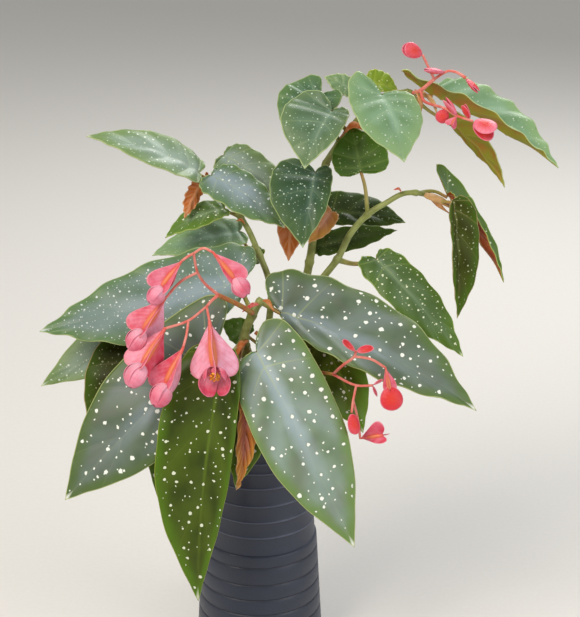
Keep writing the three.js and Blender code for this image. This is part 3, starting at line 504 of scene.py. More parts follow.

# %% [markdown]
# These are the leaves, each with its measures. base and tip are the two ends of the midrib, face is the way
# the upper side looks, and stalk is the way from the cane to the blade. widths and lobes belong first to the
# half on the left of the way from base to tip. arch bows the midrib up, bend bows it sideways, and fold
# lifts both halves into a shallow V. scallop and ripple are the depth of the edge's notches and waves, pleat
# says how strongly the blade swells between its veins, and folds how often. finish and back name the colours
# of the two sides; a silvery finish on a leaf that faces up holds a painted reflection of the sky, and a
# dark olive or shaded finish on a leaf that faces away holds painted shade. Each leaf's lightness value says
# how light its green is: partly its own tone and partly painted light, lighter where the leaf lies in shade
# and darker where it is in full light. What a row leaves out is as usual.

# %% Leaf measures
USUAL_LEAF = dict(
    bend=0, fold=0.1, scallop=0.4, ripple=0.35, pleat=1, folds=1, shade=0.95, finish="sage", back="wine",
)
LEAVES = {
    "front_right": dict(cane="front", base=(0, -43.5, 231), tip=(61, -93, 120), face=(0.05, -0.8, 0.5),
        stalk=((-7, -19, 226), (-3, -30, 222)), widths=(30, 26.5), lobes=(15, 4), arch=9, scallop=0.3,
        ripple=0.25, pleat=0.7, finish="silver"),
    "front_centre": dict(cane="front", base=(-19, -50, 235), tip=(-37, -88, 79), face=(0, -1, 0.2),
        stalk=((-8, -20, 232), (-14, -36, 229)), widths=(16, 32), lobes=(5, 8), arch=8, bend=-4.5,
        fold=0.16, scallop=0.7, ripple=0.6, shade=1, finish="olive"),
    "lower_left": dict(cane="front", base=(-29, -41, 230), tip=(-121, -68, 140), face=(-0.25, -0.9, 0.4),
        stalk=((-8, -19, 221), (-18, -32, 221)), widths=(28, 36), lobes=(4, 30), arch=8, fold=0.04,
        ripple=0.5, pleat=0.8, shade=0.55, finish="silver"),
    "upper_left": dict(cane="front", base=(-11, 3, 262), tip=(-139, -21, 236), face=(0, -0.65, 0.75),
        stalk=((-3, -17, 246), (-7, -3, 250)), widths=(27, 32), lobes=(3, 15), arch=4, bend=4, fold=0.08,
        scallop=1.7, ripple=1.3, shade=0.84, finish="frost"),
    "left_second": dict(cane="front", base=(-45, 18, 235), tip=(-143, -4, 191), face=(-0.2, -0.8, 0.5),
        stalk=((-7, -18, 206), (-34, 24, 218)), widths=(17, 24), lobes=(5, 10), arch=6, shade=0.85,
        finish="pale"),
    "left_dark": dict(cane="front", base=(-74, -2, 223), tip=(-110, -24, 169), face=(-0.35, -0.9, 0.2),
        stalk=((-7, -15, 188), (-37, -8, 206)), widths=(18, 23), lobes=(4, 6), arch=6, shade=0.85,
        finish="dusky"),
    "behind_centre_left": dict(cane="front", base=(-44, -10, 213), tip=(-65, -42, 129),
        face=(-0.2, -0.9, 0.3), stalk=((-6, -12, 180), (-26, -6, 193)), widths=(16, 20), lobes=(4, 4),
        arch=5, finish="olive"),
    "behind_centre_right": dict(cane="front", base=(-18, -24, 215), tip=(-28, -44, 149),
        face=(0.1, -1, 0.2), stalk=((-7, -16, 190), (-14, -18, 202)), widths=(14, 12), lobes=(3, 3), arch=3,
        finish="olive"),
    "curled_front": dict(cane="front", base=(-8, -41, 217), tip=(-13, -62, 144), face=(0.65, -0.75, 0.1),
        stalk=((-7, -20, 216), (-7, -30, 215)), widths=(9, 9), lobes=(2, 2), arch=3, fold=0.6, scallop=0.8,
        ripple=0.8, pleat=2.8, folds=3, shade=1.6, finish="young", back="rose"),
    "behind_curled": dict(cane="front", base=(-3, -33, 206), tip=(-14, -49, 139), face=(0.1, -1, 0.15),
        stalk=((-6, -11, 174), (-4, -20, 190)), widths=(15, 12), lobes=(3, 3), arch=4, shade=1.2,
        finish="olive"),
    "behind_right": dict(cane="right", base=(40, -8, 228), tip=(68, -36, 172), face=(0.35, -0.9, 0.3),
        stalk=((24, 6, 220), (32, -2, 222)), widths=(18, 20), lobes=(4, 4), arch=5, shade=1.5,
        finish="olive"),
    "right_big": dict(cane="front", base=(15, -18, 248), tip=(137, -62, 199), face=(0.25, -0.62, 0.75),
        stalk=((2, -14, 254), (8, -14, 250)), widths=(36, 20.5), lobes=(20, 0), arch=10, fold=0.15,
        scallop=1.3, ripple=1, shade=0.65, finish="silver"),
    "small_centre": dict(cane="left", base=(-7, 2, 225), tip=(-24, -8, 238), face=(-0.3, -0.8, 0.5),
        stalk=((5, 14, 210), (0, 8, 216)), widths=(9, 9), lobes=(3, 3), arch=2, shade=1.4, finish="fresh"),
    "right_arm": dict(cane="right", base=(77, 8, 275), tip=(133, -14, 216), face=(0.1, -0.9, 0.5),
        stalk=((52, 10, 274), (62, 14, 270)), widths=(15, 15), lobes=(5, 8), arch=5, scallop=1.1,
        ripple=0.9, shade=0.7, finish="meadow"),
    "right_vertical": dict(cane="right", base=(124, -3, 318), tip=(128, -16, 243), face=(0.5, -0.85, 0.1),
        stalk=((110, 12, 316), (117, 5, 315)), widths=(14.5, 6), lobes=(4, 2), arch=3, fold=0.35, shade=1,
        finish="dusky"),
    "right_outer": dict(cane="right", base=(122, 13, 317), tip=(160, 6, 260), face=(0.8, -0.15, 0.55),
        stalk=((102, 12, 318), (113, 14, 319)), widths=(10, 9), lobes=(20, 3), arch=1, fold=0.95, shade=0.8,
        finish="meadow", back="rust"),
    "back_right_upper": dict(cane="middle", base=(45, 56, 292), tip=(99, 60, 284), face=(0, -0.6, 0.8),
        stalk=((37, 31, 290), (40, 49, 282)), widths=(18, 11), lobes=(8, 3), arch=4, fold=0.05, shade=0.8,
        finish="shaded"),
    "back_right_lower": dict(cane="middle", base=(38, 38, 274), tip=(92, 36, 286), face=(0.1, -0.8, 0.6),
        stalk=((34, 32, 266), (36, 36, 268)), widths=(9, 9), lobes=(4, 3), arch=3, scallop=0.9, ripple=0.7,
        shade=1.1, finish="shaded"),
    "top_mid": dict(cane="right", base=(66, 10, 333), tip=(60, 20, 360), face=(0, -0.85, 0.5),
        stalk=((71, 12, 304), (69, 14, 322)), widths=(17, 19), lobes=(2, 3), arch=3, shade=0.85,
        finish="fresh"),
    "top_heart": dict(cane="middle", base=(78, 4, 384), tip=(91, -24, 348), face=(0.1, -0.7, 0.7),
        stalk=((76, 26, 373), (77, 14, 378)), widths=(19, 23), lobes=(2, 18), arch=6, fold=0.12,
        shade=1.16),
    "top_left_heart": dict(cane="middle", base=(47, 2, 374), tip=(30, -24, 344), face=(-0.1, -0.7, 0.7),
        stalk=((58, 26, 355), (52, 14, 364)), widths=(13, 27), lobes=(5, 10), arch=6, fold=0.12,
        shade=0.66),
    "top_left_back": dict(cane="middle", base=(39, 28, 377), tip=(17, 14, 357), face=(-0.1, -0.6, 0.8),
        stalk=((53, 26, 348), (44, 30, 363)), widths=(17, 21), lobes=(12, 12), arch=4, shade=1.05,
        finish="bottle"),
    "top_small": dict(cane="middle", base=(59, 34, 381), tip=(43, 38, 388), face=(-0.1, -0.7, 0.7),
        stalk=((72, 26, 372), (66, 33, 372)), widths=(7, 7), lobes=(3, 3), arch=2, back="green"),
    "top_yellow": dict(cane="middle", base=(73, 34, 384), tip=(90, 38, 380), face=(0.1, -0.7, 0.7),
        stalk=((80, 26, 377), (76, 33, 378)), widths=(11, 6), lobes=(3, 2), arch=2, finish="gold",
        back="green"),
    "centre_heart": dict(cane="middle", base=(37, 8, 333), tip=(29, -24, 293), face=(0, -0.8, 0.6),
        stalk=((45, 28, 334), (41, 18, 330)), widths=(12, 27), lobes=(6, 7), arch=6, fold=0.12, shade=0.6,
        finish="bottle"),
    "left_pale": dict(cane="left", base=(-22, 36, 337), tip=(21, 18, 309), face=(0.1, -0.7, 0.7),
        stalk=((-23, 24, 314), (-25, 34, 326)), widths=(15, 16), lobes=(3, 3), arch=5, scallop=0.9,
        ripple=0.6, shade=0.75, finish="pale", back="green"),
    "left_silver": dict(cane="left", base=(-29, 12, 330), tip=(18, -8, 301), face=(0.1, -0.65, 0.75),
        stalk=((-29, 22, 319), (-31, 16, 324)), widths=(15, 16), lobes=(3, 4), arch=5, scallop=0.9,
        ripple=0.8, shade=0.78, finish="frost"),
    "far_left": dict(cane="left", base=(-38, 20, 330), tip=(-108, 14, 355), face=(-0.1, -0.4, 0.9),
        stalk=((-31, 22, 322), (-34, 21, 326)), widths=(15, 17), lobes=(5, 5), arch=6, shade=0.9,
        finish="pale"),
    "curled_left": dict(cane="left", base=(-37, 22, 321), tip=(-47, 13, 301), face=(-0.3, 0.8, -0.4),
        stalk=((-25, 23, 315), (-31, 18, 318)), widths=(6, 5), lobes=(2, 2), arch=3, fold=0.4, scallop=1.2,
        ripple=0.4, pleat=1.6, finish="young", back="bronze"),
    "left_narrow": dict(cane="left", base=(-22, 26, 304), tip=(-60, 16, 287), face=(-0.1, -0.4, 0.9),
        stalk=((-12, 27, 298), (-17, 28, 300)), widths=(11, 11), lobes=(3, 3), arch=4, shade=0.9,
        finish="meadow"),
    "left_mid": dict(cane="left", base=(-13, 40, 284), tip=(-70, 28, 271), face=(-0.1, -0.6, 0.8),
        stalk=((1, 27, 272), (-6, 36, 273)), widths=(14, 13), lobes=(5, 5), arch=4, fold=0.06, shade=1.15),
    "olive_back": dict(cane="left", base=(1, 38, 267), tip=(-15, 42, 265), face=(0, -0.5, 0.8),
        stalk=((7, 24, 250), (5, 32, 258)), widths=(8, 8), lobes=(3, 3), arch=2, finish="olive"),
    "brown_back": dict(cane="middle", base=(22, 36, 303), tip=(20, 28, 267), face=(0, 0.9, -0.3),
        stalk=((37, 30, 308), (30, 31, 308)), widths=(9, 9), lobes=(3, 3), arch=4, finish="young",
        back="bronze"),
    "brown_fold": dict(cane="middle", base=(48, 24, 302), tip=(33, 20, 282), face=(-0.2, -0.9, 0.1),
        stalk=((37, 30, 308), (45, 28, 305)), widths=(7, 7), lobes=(2, 2), arch=2, fold=0.2, finish="young",
        back="bronze"),
    "top_right_long": dict(cane="middle", base=(111, 34, 378), tip=(192, 12, 335), face=(0, 0.1, 1),
        stalk=((95, 26, 380), (103, 33, 378)), widths=(23, 13), lobes=(3, 24), arch=2, fold=0.8,
        scallop=1.2, ripple=1, shade=1.3, back="amber"),
    "top_right_hang": dict(cane="middle", base=(121, 38, 361), tip=(159, 16, 321), face=(0.7, 0.6, 0.3),
        stalk=((97, 26, 380), (109, 33, 368)), widths=(6, 13), lobes=(3, 4), arch=4, fold=0.2, pleat=1.4,
        finish="silver", back="amber"),
}
LEAVES = {name: {**USUAL_LEAF, **own} for name, own in LEAVES.items()}
print(len(LEAVES), "leaves")

# %% [markdown]
# Six veins cross each half, most of them from the stalk, like fingers. Blade surfaces could be sculpted, but
# a sheet whose rows are the veins themselves can carry every detail where it belongs: a faint groove along
# each vein, soft swelling between two veins, a channel along the midrib, and a scalloped, rippled edge. So
# a flat grid is laid over each leaf, its rows bent to the veins, and one function moves its points.

# %% Blade surface
VEIN_ROWS = 6
SCALLOPS = 9
SINUS_END = 0.3
EDGE_CURL = 0.06
RUFFLE = 1
RUFFLES = 2.5
BIG_LEAF = 80
BLADE_THICKNESS = 0.6
QUILT = 1.3
VEIN_GROOVE = 0.25
VEIN_WIDTH = 1.2
RIB_CHANNEL = 0.4
RIB_WIDTH = 2.2
FULL_QUILT_GAP = 14
FULL_QUILT_LENGTH = 90


def leaf_axes(leaf):
    """The leaf's own directions: base point, along, left and up, and its length."""
    base, tip, face = (np.array(leaf[key], float) for key in ("base", "tip", "face"))
    along = tip - base
    length = np.linalg.norm(along)
    along /= length
    up = face - along * face.dot(along)
    up /= np.linalg.norm(up)
    return base, along, np.cross(up, along), up, length


def blade_places(leaf, part, reach, luck):
    """Where the sheet's points go, and what the finish wants to know there: all in mm."""
    base, along, left, up, length = leaf_axes(leaf)
    out, side = np.abs(reach), np.where(reach >= 0, 1.0, -1.0)
    first = side[:, None] > 0

    def edge_at(p):
        halves = [half_outline(p, length, leaf["widths"][h], leaf["lobes"][h]) for h in (0, 1)]
        return np.where(first, halves[0], halves[1])

    def rib_at(p):
        return np.maximum(0, (p - SINUS_END) / (1 - SINUS_END)) ** 2 * length

    def flat(p):
        rib, edge = rib_at(p), edge_at(p)
        lean = out ** (1 + 0.25 * np.clip(p * 2, 0, 1))
        return np.stack([rib + (edge[:, 0] - rib) * lean, edge[:, 1] * out], axis=1)

    spot, edge = flat(part), edge_at(part)
    step = 0.5 / VEIN_ROWS
    gap = np.linalg.norm(flat(np.minimum(part + step, 1)) - flat(np.maximum(part - step, 0)), axis=1)
    across = edge - np.stack([rib_at(part), 0 * part], axis=1)
    half = np.linalg.norm(across, axis=1)
    calm = np.clip(part * 5, 0, 1) * np.clip((1 - part) * 8, 0, 1)
    notch = leaf["scallop"] * calm * out ** 4 * (0.5 - 0.5 * np.cos(2 * pi * SCALLOPS * part + luck))
    spot -= across / np.maximum(half, 1)[:, None] * notch[:, None]
    x, y = spot[:, 0], spot[:, 1]
    inside = (1 - out) * half

    to_vein = 0.5 - np.abs((part * VEIN_ROWS) % 1 - 0.5)
    room = np.clip(gap / FULL_QUILT_GAP, 0, 1) * np.clip(length / FULL_QUILT_LENGTH, 0.45, 1)
    groove = -VEIN_GROOVE * np.exp(-((to_vein * gap / VEIN_WIDTH) ** 2)) * np.clip(gap / 5, 0, 1)
    swell = np.sin(pi * part * VEIN_ROWS * leaf["folds"]) ** 2
    quilt = QUILT * swell * leaf["pleat"] * room * (1 - out ** 6)
    between_ends = np.clip((1 - part) * 6, 0, 1) * np.clip(part * 6, 0, 1)
    channel = -RIB_CHANNEL * np.exp(-((y / RIB_WIDTH) ** 2)) * between_ends
    ripple = leaf["ripple"] * out ** 4 * calm * np.sin(pi * SCALLOPS * part * 2 + luck)

    t = np.maximum(0, x / length)
    bow = 4 * t * (1 - t)
    width = np.where(side > 0, *leaf["widths"])
    wave = np.sin(2 * pi * RUFFLES * part + side) * np.sin(pi * np.minimum(1, part * 1.1))
    z = (bow * leaf["arch"] + leaf["fold"] * y - EDGE_CURL * y ** 2 / width + RUFFLE * out ** 2 * wave
         + groove + quilt + channel + ripple)
    points = (base + np.outer(x, along) + np.outer(side * y + bow * leaf["bend"], left) + np.outer(z, up))
    facts = {"edge_mm": inside, "rib_mm": y, "stalk_mm": np.hypot(x, y), "row_gap_mm": gap,
             "shade": np.full(len(x), leaf["shade"])}
    return points * MM, np.stack([x, side * y], axis=1), facts


starts = [round(max(0, (k / VEIN_ROWS - SINUS_END) / (1 - SINUS_END)) ** 2, 2) for k in range(VEIN_ROWS)]
print("parts of the midrib where veins leave it:", starts)

# %% [markdown]
# The grid is laid, bent, closed where its end rows run together at the stalk and the tip, and thickened.
# Two maps go with it: one in real millimetres, for spots that keep their size on every leaf, and one that
# counts vein rows. The finish also reads how far each point is from the edge and the midrib.

# %% Make a blade
MAP_SHIFT = (37.0, 19.0)


def flat_sheet(columns, rows):
    """A flat grid from -1 to 1, and its points."""
    bpy.ops.mesh.primitive_grid_add(x_subdivisions=columns, y_subdivisions=rows, size=2)
    sheet = bpy.context.object
    return sheet, read_points(sheet.data)


def bend_sheet(sheet, places, **maps):
    """Moves a flat sheet's points to their places, lays its maps and merges the points that meet."""
    mesh = sheet.data
    mesh.vertices.foreach_set("co", places.ravel())
    corner_of = np.zeros(len(mesh.loops), int)
    mesh.loops.foreach_get("vertex_index", corner_of)
    for name, values in maps.items():
        mesh.uv_layers.new(name=name).data.foreach_set("uv", values[corner_of].ravel())
    mesh.uv_layers.remove(mesh.uv_layers["UVMap"])
    tidy_mesh(merge_mm=0.02)


def lay_blade(name, leaf, number):
    """One leaf blade as a closed sheet with its maps."""
    length = leaf_axes(leaf)[4]
    rows, columns = (108, 44) if length > BIG_LEAF or leaf["folds"] > 1 else (72, 28)
    blade, points = flat_sheet(columns, rows)
    reach, part = -points[:, 0], (points[:, 1] + 1) / 2
    places, map_mm, facts = blade_places(leaf, part, reach, number)
    write_values(blade.data, **facts)
    map_mm = map_mm + number * np.array(MAP_SHIFT)
    bend_sheet(blade, places, blade_mm=map_mm, vein_rows=np.stack([part * VEIN_ROWS, reach], 1))
    blade.name = blade.data.name = "leaf_" + name
    return blade


trial = lay_blade("trial", LEAVES["front_right"], 0)
print("a big blade has", len(trial.data.polygons), "faces,", [round(d / MM) for d in trial.dimensions], "mm")
bpy.data.objects.remove(trial)

# %% [markdown]
# The upper skin of a living leaf is waxy and half glossy. A bloom of air under the skin makes the silver,
# and the same silver is also a painted reflection of the bright sky, on the leaves that face up: it is
# strongest beside the midrib and along the veins, and leaves the margin green. A pale hair line ends the
# blade, the tip is cream, and white flecks of trapped air lie in loose rows, large ones far apart and small
# ones between.
# All of it is drawn from the maps in millimetres, so a fleck keeps its real size. There a scale of 0.05
# gives clouds of 20 mm, 0.09 a mottle of 11 mm and 1.2 the skin's grain of 0.8 mm.

# %% Upper leaf finish
FLECK_LAYERS = ((10.5, 0.85, 1.65), (7.2, 0.4, 0.75))


def leaf_flecks(add, place, spacing, smallest, largest, share):
    """White flecks about spacing mm apart, with radii between two sizes, and the dark halo round them."""
    from_middle = add("TexVoronoi 2D", {"Vector": place, "Scale": 1 / spacing, "Randomness": 0.85})
    size_luck = add("SeparateColor", (from_middle.node.outputs["Color"],))
    share_luck = size_luck.node.outputs["Green"]
    size = add("MapRange", (size_luck, 0, 1, smallest / spacing, largest / spacing))
    core = add("Math MULTIPLY", (size, 0.75))
    halo = add("Math MULTIPLY", (size, 1.7))
    fleck = add("MapRange", (from_middle, size, core, 0, 1))
    dusk = add("MapRange", (from_middle, halo, size, 0, 0.3))
    shown = add("Math LESS_THAN", (share_luck, share))
    return add("Math MULTIPLY", (fleck, shown)), add("Math MULTIPLY", (dusk, shown))


def leaf_maps(add):
    """What both skins read: mm from the edge and the midrib, the map in mm, the vein rows, and how far the
    nearest vein is, as a part of a row and in mm."""
    keys = ("edge_mm", "rib_mm", "row_gap_mm")
    from_edge, from_rib, gap = (add("Attribute " + key, out="Fac") for key in keys)
    row = add("SeparateXYZ", (add("UVMap vein_rows"),))
    to_vein = add("Math PINGPONG", (row, 0.5))
    vein_mm = add("Math MULTIPLY", (to_vein, gap))
    return from_edge, from_rib, add("UVMap blade_mm"), row, to_vein, vein_mm


def leaf_top(name, shown, deep, green, silver, margin, line, fleck, reach, fleck_size, share, haze=0,
             lean=0, gloss=0.5):
    """The upper skin.

    reach is how far the silver goes from the midrib, in mm, share how many flecks show, haze how far the
    greyish pink of the back shines through in patches, lean how unlike the halves are, and gloss how
    strongly the skin shines, 0.5 being usual.
    """
    material, add = new_material(name, shown)
    from_edge, from_rib, place, row, to_vein, vein_mm = leaf_maps(add)
    from_stalk, shade = (add("Attribute " + key, out="Fac") for key in ("stalk_mm", "shade"))
    cloud = add("TexNoise 2D", {"Vector": place, "Scale": 0.05})
    mottle = add("TexNoise 2D", {"Vector": place, "Scale": 0.09, "Detail": 1})
    halves = add("Math MULTIPLY_ADD", (row.node.outputs["Y"], -lean, mottle))
    lit = add("Math MULTIPLY_ADD", (to_vein, -0.7, halves))
    tone = add("MapRange SMOOTHSTEP", (lit, -0.4, 0.75))
    leafy = add("Mix RGBA", {0: tone, 6: deep, 7: green})
    if haze:
        patches = add("MapRange SMOOTHSTEP", (cloud, 0.48, 0.62, 0, haze))
        leafy = add("Mix RGBA", {0: patches, 6: leafy, 7: "#7B7A70"})
    # Silver band and vein rays: the leaf's own air bloom and a painted reflection of the sky.
    wander = add("Math MULTIPLY_ADD", (cloud, 0.6 * reach, -0.3 * reach))
    shifted = add("Math ADD", (from_rib, wander))
    band = add("MapRange SMOOTHSTEP", (shifted, reach, 0, 0, 0.85))
    flank = add("MapRange SMOOTHSTEP", (to_vein, 0.45, 0.03, 0.03, 0.36))
    bloom_and_sheen = add("Math MAXIMUM", (band, flank))
    not_tip = add("MapRange SMOOTHSTEP", (row, VEIN_ROWS * 0.95, VEIN_ROWS * 0.7, 0.25, 1))
    inward = add("MapRange SMOOTHSTEP", (from_edge, 2, 11))
    frost = add("Math MULTIPLY", (bloom_and_sheen, inward))
    frost = add("Math MULTIPLY", (frost, not_tip))
    frosted = add("Mix RGBA", {0: frost, 6: leafy, 7: silver})
    to_tip = add("MapRange", (row, VEIN_ROWS * 0.3, VEIN_ROWS, 0, -4))
    tapered = add("Math ADD", (from_edge, to_tip))
    edge_shift = add("Math MULTIPLY_ADD", (mottle, 6, tapered))
    green_edge = add("MapRange SMOOTHSTEP", (edge_shift, 13, 0, 0, 0.85))
    edged = add("Mix RGBA", {0: green_edge, 6: frosted, 7: margin})
    # The leaf's own tone and painted light: its green is lightened or darkened for how much light it gets.
    edged = add("HueSaturation", {"Value": shade, "Color": edged})

    flecks = 0
    for spacing, smallest, largest in FLECK_LAYERS:
        spacing, smallest, largest = (v * fleck_size for v in (spacing, smallest, largest))
        jitter = add("TexNoise 2D", {"Vector": place, "Scale": 0.7 / fleck_size, "Detail": 1}, out="Color")
        shaken = add("VectorMath MULTIPLY_ADD", (jitter, (1.1 * fleck_size,) * 3, place))
        white, dusk = leaf_flecks(add, shaken, spacing, smallest, largest, share)
        flecks = add("Math MAXIMUM", (flecks, white))
        edged = add("Mix RGBA", {0: dusk, 6: edged, 7: deep})
    off_edge = add("MapRange SMOOTHSTEP", (from_edge, 1.5, 3))
    kept = add("Math MULTIPLY", (flecks, off_edge))
    flecked = add("Mix RGBA", {0: kept, 6: edged, 7: fleck})

    fade = add("MapRange SMOOTHSTEP", (from_stalk, 4, 42, 0.4 * fleck_size, 0.05))
    hair = add("MapRange SMOOTHSTEP", (vein_mm, 0.9, 0.1))
    rib = add("MapRange SMOOTHSTEP", (from_rib, 1, 0.35))
    lines = add("Math MAXIMUM", (hair, rib))
    pale_lines = add("Math MULTIPLY", (lines, fade))
    veined = add("Mix RGBA", {0: pale_lines, 6: flecked, 7: line})
    tip = add("MapRange", (row, VEIN_ROWS * 0.975, VEIN_ROWS * 0.99, 0, 0.8))
    tipped = add("Mix RGBA", {0: tip, 6: veined, 7: fleck})
    hem = add("MapRange", (from_edge, 0.75, 0.35, 0, 0.8))
    coloured = add("Mix RGBA", {0: hem, 6: tipped, 7: line})

    skin = add("TexNoise 2D", {"Vector": place, "Scale": 1.2, "Detail": 3})
    bump = add("Bump", {"Height": skin, "Strength": 0.12, "Distance": 0.2 * MM})
    satin = add("MapRange", (mottle, 0.3, 0.7, 0.37, 0.45))
    shader = add("BsdfPrincipled", {
        "Base Color": coloured, "Roughness": satin, "IOR": 1.34, "Specular IOR Level": gloss, "Normal": bump,
    })
    add("OutputMaterial", {"Surface": shader})
    return material


# silver, frost and pale: leaves facing up, with a painted sky reflection; olive, dusky, shaded: painted
# shade.
TOPS = {
    "silver": leaf_top("frosted_leaf_skin", "#8EA49A", "#62775C", "#7A8F72", "#A2B5BC", "#6C8A44", "#B5BF7C",
                       "#EEF2EA", 10, 1, 0.66, haze=0.28),
    "pale": leaf_top("pale_leaf_skin", "#8BA48C", "#6C8664", "#809A78", "#A0B4AA", "#7B9658", "#B9C48C",
                     "#CBD7C6", 11, 0.5, 0.62),
    "frost": leaf_top("blue_frosted_leaf_skin", "#84998F", "#5F7A66", "#748C78", "#9FB2BC", "#66884E",
                      "#A8B878", "#CED8D6", 15, 0.5, 0.66),
    "sage": leaf_top("sage_leaf_skin", "#60805C", "#55744E", "#6D8C68", "#84A38C", "#7B9868", "#B4C68A",
                     "#BACCB4", 5, 0.38, 0.52),
    "bottle": leaf_top("bottle_green_leaf_skin", "#4C694A", "#3C5A3C", "#4C6D4A", "#6C8C7C", "#5C7C48",
                       "#A0B478", "#BCCDBA", 4, 0.38, 0.56),
    "meadow": leaf_top("meadow_green_leaf_skin", "#607A48", "#4E6A34", "#5F7E42", "#7E9A78", "#64882E",
                       "#A8BC66", "#D9E4C2", 4, 0.5, 0.6),
    "shaded": leaf_top("shaded_green_leaf_skin", "#47572C", "#26331A", "#36461F", "#4E6036", "#455F22",
                       "#7E8E50", "#8C9A7C", 4, 0.45, 0.55, gloss=0.2),
    "olive": leaf_top("olive_leaf_skin", "#43531C", "#2C3A06", "#42520A", "#526A16", "#50740E", "#929E40",
                      "#D8DEC4", 2, 0.8, 0.62),
    "dusky": leaf_top("brown_green_leaf_skin", "#404822", "#2E300C", "#3C4216", "#4E5C24", "#46641A",
                      "#B0A070", "#9AA37E", 2, 0.45, 0.66, gloss=0.15),
    "fresh": leaf_top("fresh_green_leaf_skin", "#5D7545", "#40601E", "#55752E", "#64823E", "#50781E",
                      "#94AC54", "#9FB27E", 4, 0.45, 0.6),
    "gold": leaf_top("yellowing_leaf_skin", "#A5A24A", "#6C8420", "#7E982A", "#8CA440", "#789428", "#B4BC50",
                     "#C8D08A", 3, 0.45, 0.3),
    "young": leaf_top("young_bronze_leaf_skin", "#8A5A34", "#B4702C", "#B47460", "#C89484", "#C4903E",
                      "#DCAE7C", "#D9B99A", 3, 0.5, 0.1, lean=0.5),
}
print("upper finishes:", sorted(TOPS))

# %% [markdown]
# Underneath, the skin has no silver. It is matt, wine red to rust on most leaves and amber or green on
# some, with the veins standing out in a lighter colour.

# %% Lower leaf finish
def leaf_back(name, shown, field, patch, vein):
    """The lower skin, matt, with light veins."""
    material, add = new_material(name, shown)
    from_edge, from_rib, place, row, to_vein, vein_mm = leaf_maps(add)
    mottle = add("TexNoise 2D", {"Vector": place, "Scale": 0.09, "Detail": 3})
    between = add("Math MULTIPLY_ADD", (to_vein, 0.8, mottle))
    tone = add("MapRange SMOOTHSTEP", (between, 0.58, 1))
    ground = add("Mix RGBA", {0: tone, 6: field, 7: patch})
    hair = add("MapRange SMOOTHSTEP", (vein_mm, 1, 0.3, 0, 0.3))
    rib = add("MapRange SMOOTHSTEP", (from_rib, 1.3, 0.5, 0, 0.5))
    hem = add("MapRange", (from_edge, 1, 0.4, 0, 0.75))
    lines = add("Math MAXIMUM", (hair, rib))
    drawn = add("Math MAXIMUM", (lines, hem))
    coloured = add("Mix RGBA", {0: drawn, 6: ground, 7: vein})
    skin = add("TexNoise 2D", {"Vector": place, "Scale": 1.2, "Detail": 3})
    bump = add("Bump", {"Height": skin, "Strength": 0.2, "Distance": 0.2 * MM})
    shader = add("BsdfPrincipled", {
        "Base Color": coloured, "Roughness": 0.65, "Specular IOR Level": 0.3, "Normal": bump,
    })
    add("OutputMaterial", {"Surface": shader})
    return material


BACKS = {
    "rust": leaf_back("rust_leaf_back", "#8A4422", "#8C3614", "#B25A20", "#B49A4A"),
    "wine": leaf_back("wine_leaf_back", "#5A1F1A", "#4A1815", "#6B2A20", "#8E5A38"),
    "amber": leaf_back("amber_leaf_back", "#8A8220", "#8C8A28", "#A0762C", "#A8A44C"),
    "green": leaf_back("green_leaf_back", "#8C9A58", "#7E8C4E", "#9AA468", "#B4B878"),
    "bronze": leaf_back("bronze_leaf_back", "#8E5F46", "#B8641E", "#C98256", "#E0A87C"),
    "rose": leaf_back("rose_bronze_leaf_back", "#8E5F46", "#8A4630", "#C08C7C", "#DCB4A0"),
}
print("lower finishes:", sorted(BACKS))

# %% [markdown]
# Now every leaf is laid, given its two skins, and thickened. The sheet is thickened with Solidify, which
# can hand the lower side the second material, so the wine-red backs need no painting.

for number, (name, leaf) in enumerate(LEAVES.items()):
    blade = lay_blade(name, leaf, number)
    blade.data.materials.append(TOPS[leaf["finish"]])
    blade.data.materials.append(BACKS[leaf["back"]])
    thicken(blade, BLADE_THICKNESS, material_offset=1, use_quality_normals=True)
    finish_piece(blade, "leaf_" + name)

# %% [markdown]
# The canes are jointed like bamboo: each leaf grew from a ring, where the stem is swollen and keeps a scar.
# A curve with a round bevel draws such stems well, because every point can have its own radius. The curve
# is turned into a mesh at the end, so that the piece can carry maps and be joined with the leaf stalks.

# %% Stems from curves
STEP_MM = 1.2
NODE_SWELL = 0.62
NODE_HALF = 2.3


def stem(points, radii, swellings=(), sides=12, age=(0, 1)):
    """A round stem in mm; radii is one number, or several from its foot to its end.

    swellings are places near which it thickens into a ring, and age maps its colour.
    """
    points, radii = np.array(points, float), np.array(radii, float, ndmin=1)
    rough = np.linalg.norm(np.diff(points, axis=0), axis=1).sum()
    count = max(8, int(rough / STEP_MM))
    part = np.linspace(0, 1, count)
    line = smooth_curve(points, part, by_distance=True)
    radius = np.interp(part * (len(radii) - 1), np.arange(len(radii)), radii)
    for place in swellings:
        apart = np.linalg.norm(line - np.array(place, float), axis=1)
        along = np.concatenate([[0], np.cumsum(np.linalg.norm(np.diff(line, axis=0), axis=1))])
        away = along - along[apart.argmin()]
        radius = radius + NODE_SWELL * np.exp(-((away / NODE_HALF) ** 2))
        radius = radius - 0.35 * np.exp(-(((away - 1.6) / 0.6) ** 2))
    bpy.ops.curve.primitive_bezier_curve_add()
    curve = bpy.context.object.data
    curve.splines.clear()
    spline = curve.splines.new("POLY")
    spline.points.add(count - 1)
    spline.points.foreach_set("co", np.column_stack([line * MM, np.ones(count)]).ravel())
    spline.points.foreach_set("radius", radius)
    curve.dimensions = "3D"
    curve.bevel_depth = MM
    curve.bevel_resolution = (sides - 4) // 2
    curve.use_fill_caps = True
    bpy.ops.object.convert(target="MESH")
    tube = bpy.context.object
    spots = read_points(tube.data) / MM
    nearest = ((spots[:, None, :] - line[None, :, :]) ** 2).sum(axis=2).argmin(axis=1)
    write_values(tube.data, age=age[0] + (age[1] - age[0]) * nearest / (count - 1))
    tidy_mesh(merge_mm=0.01, outward=True)
    return tube


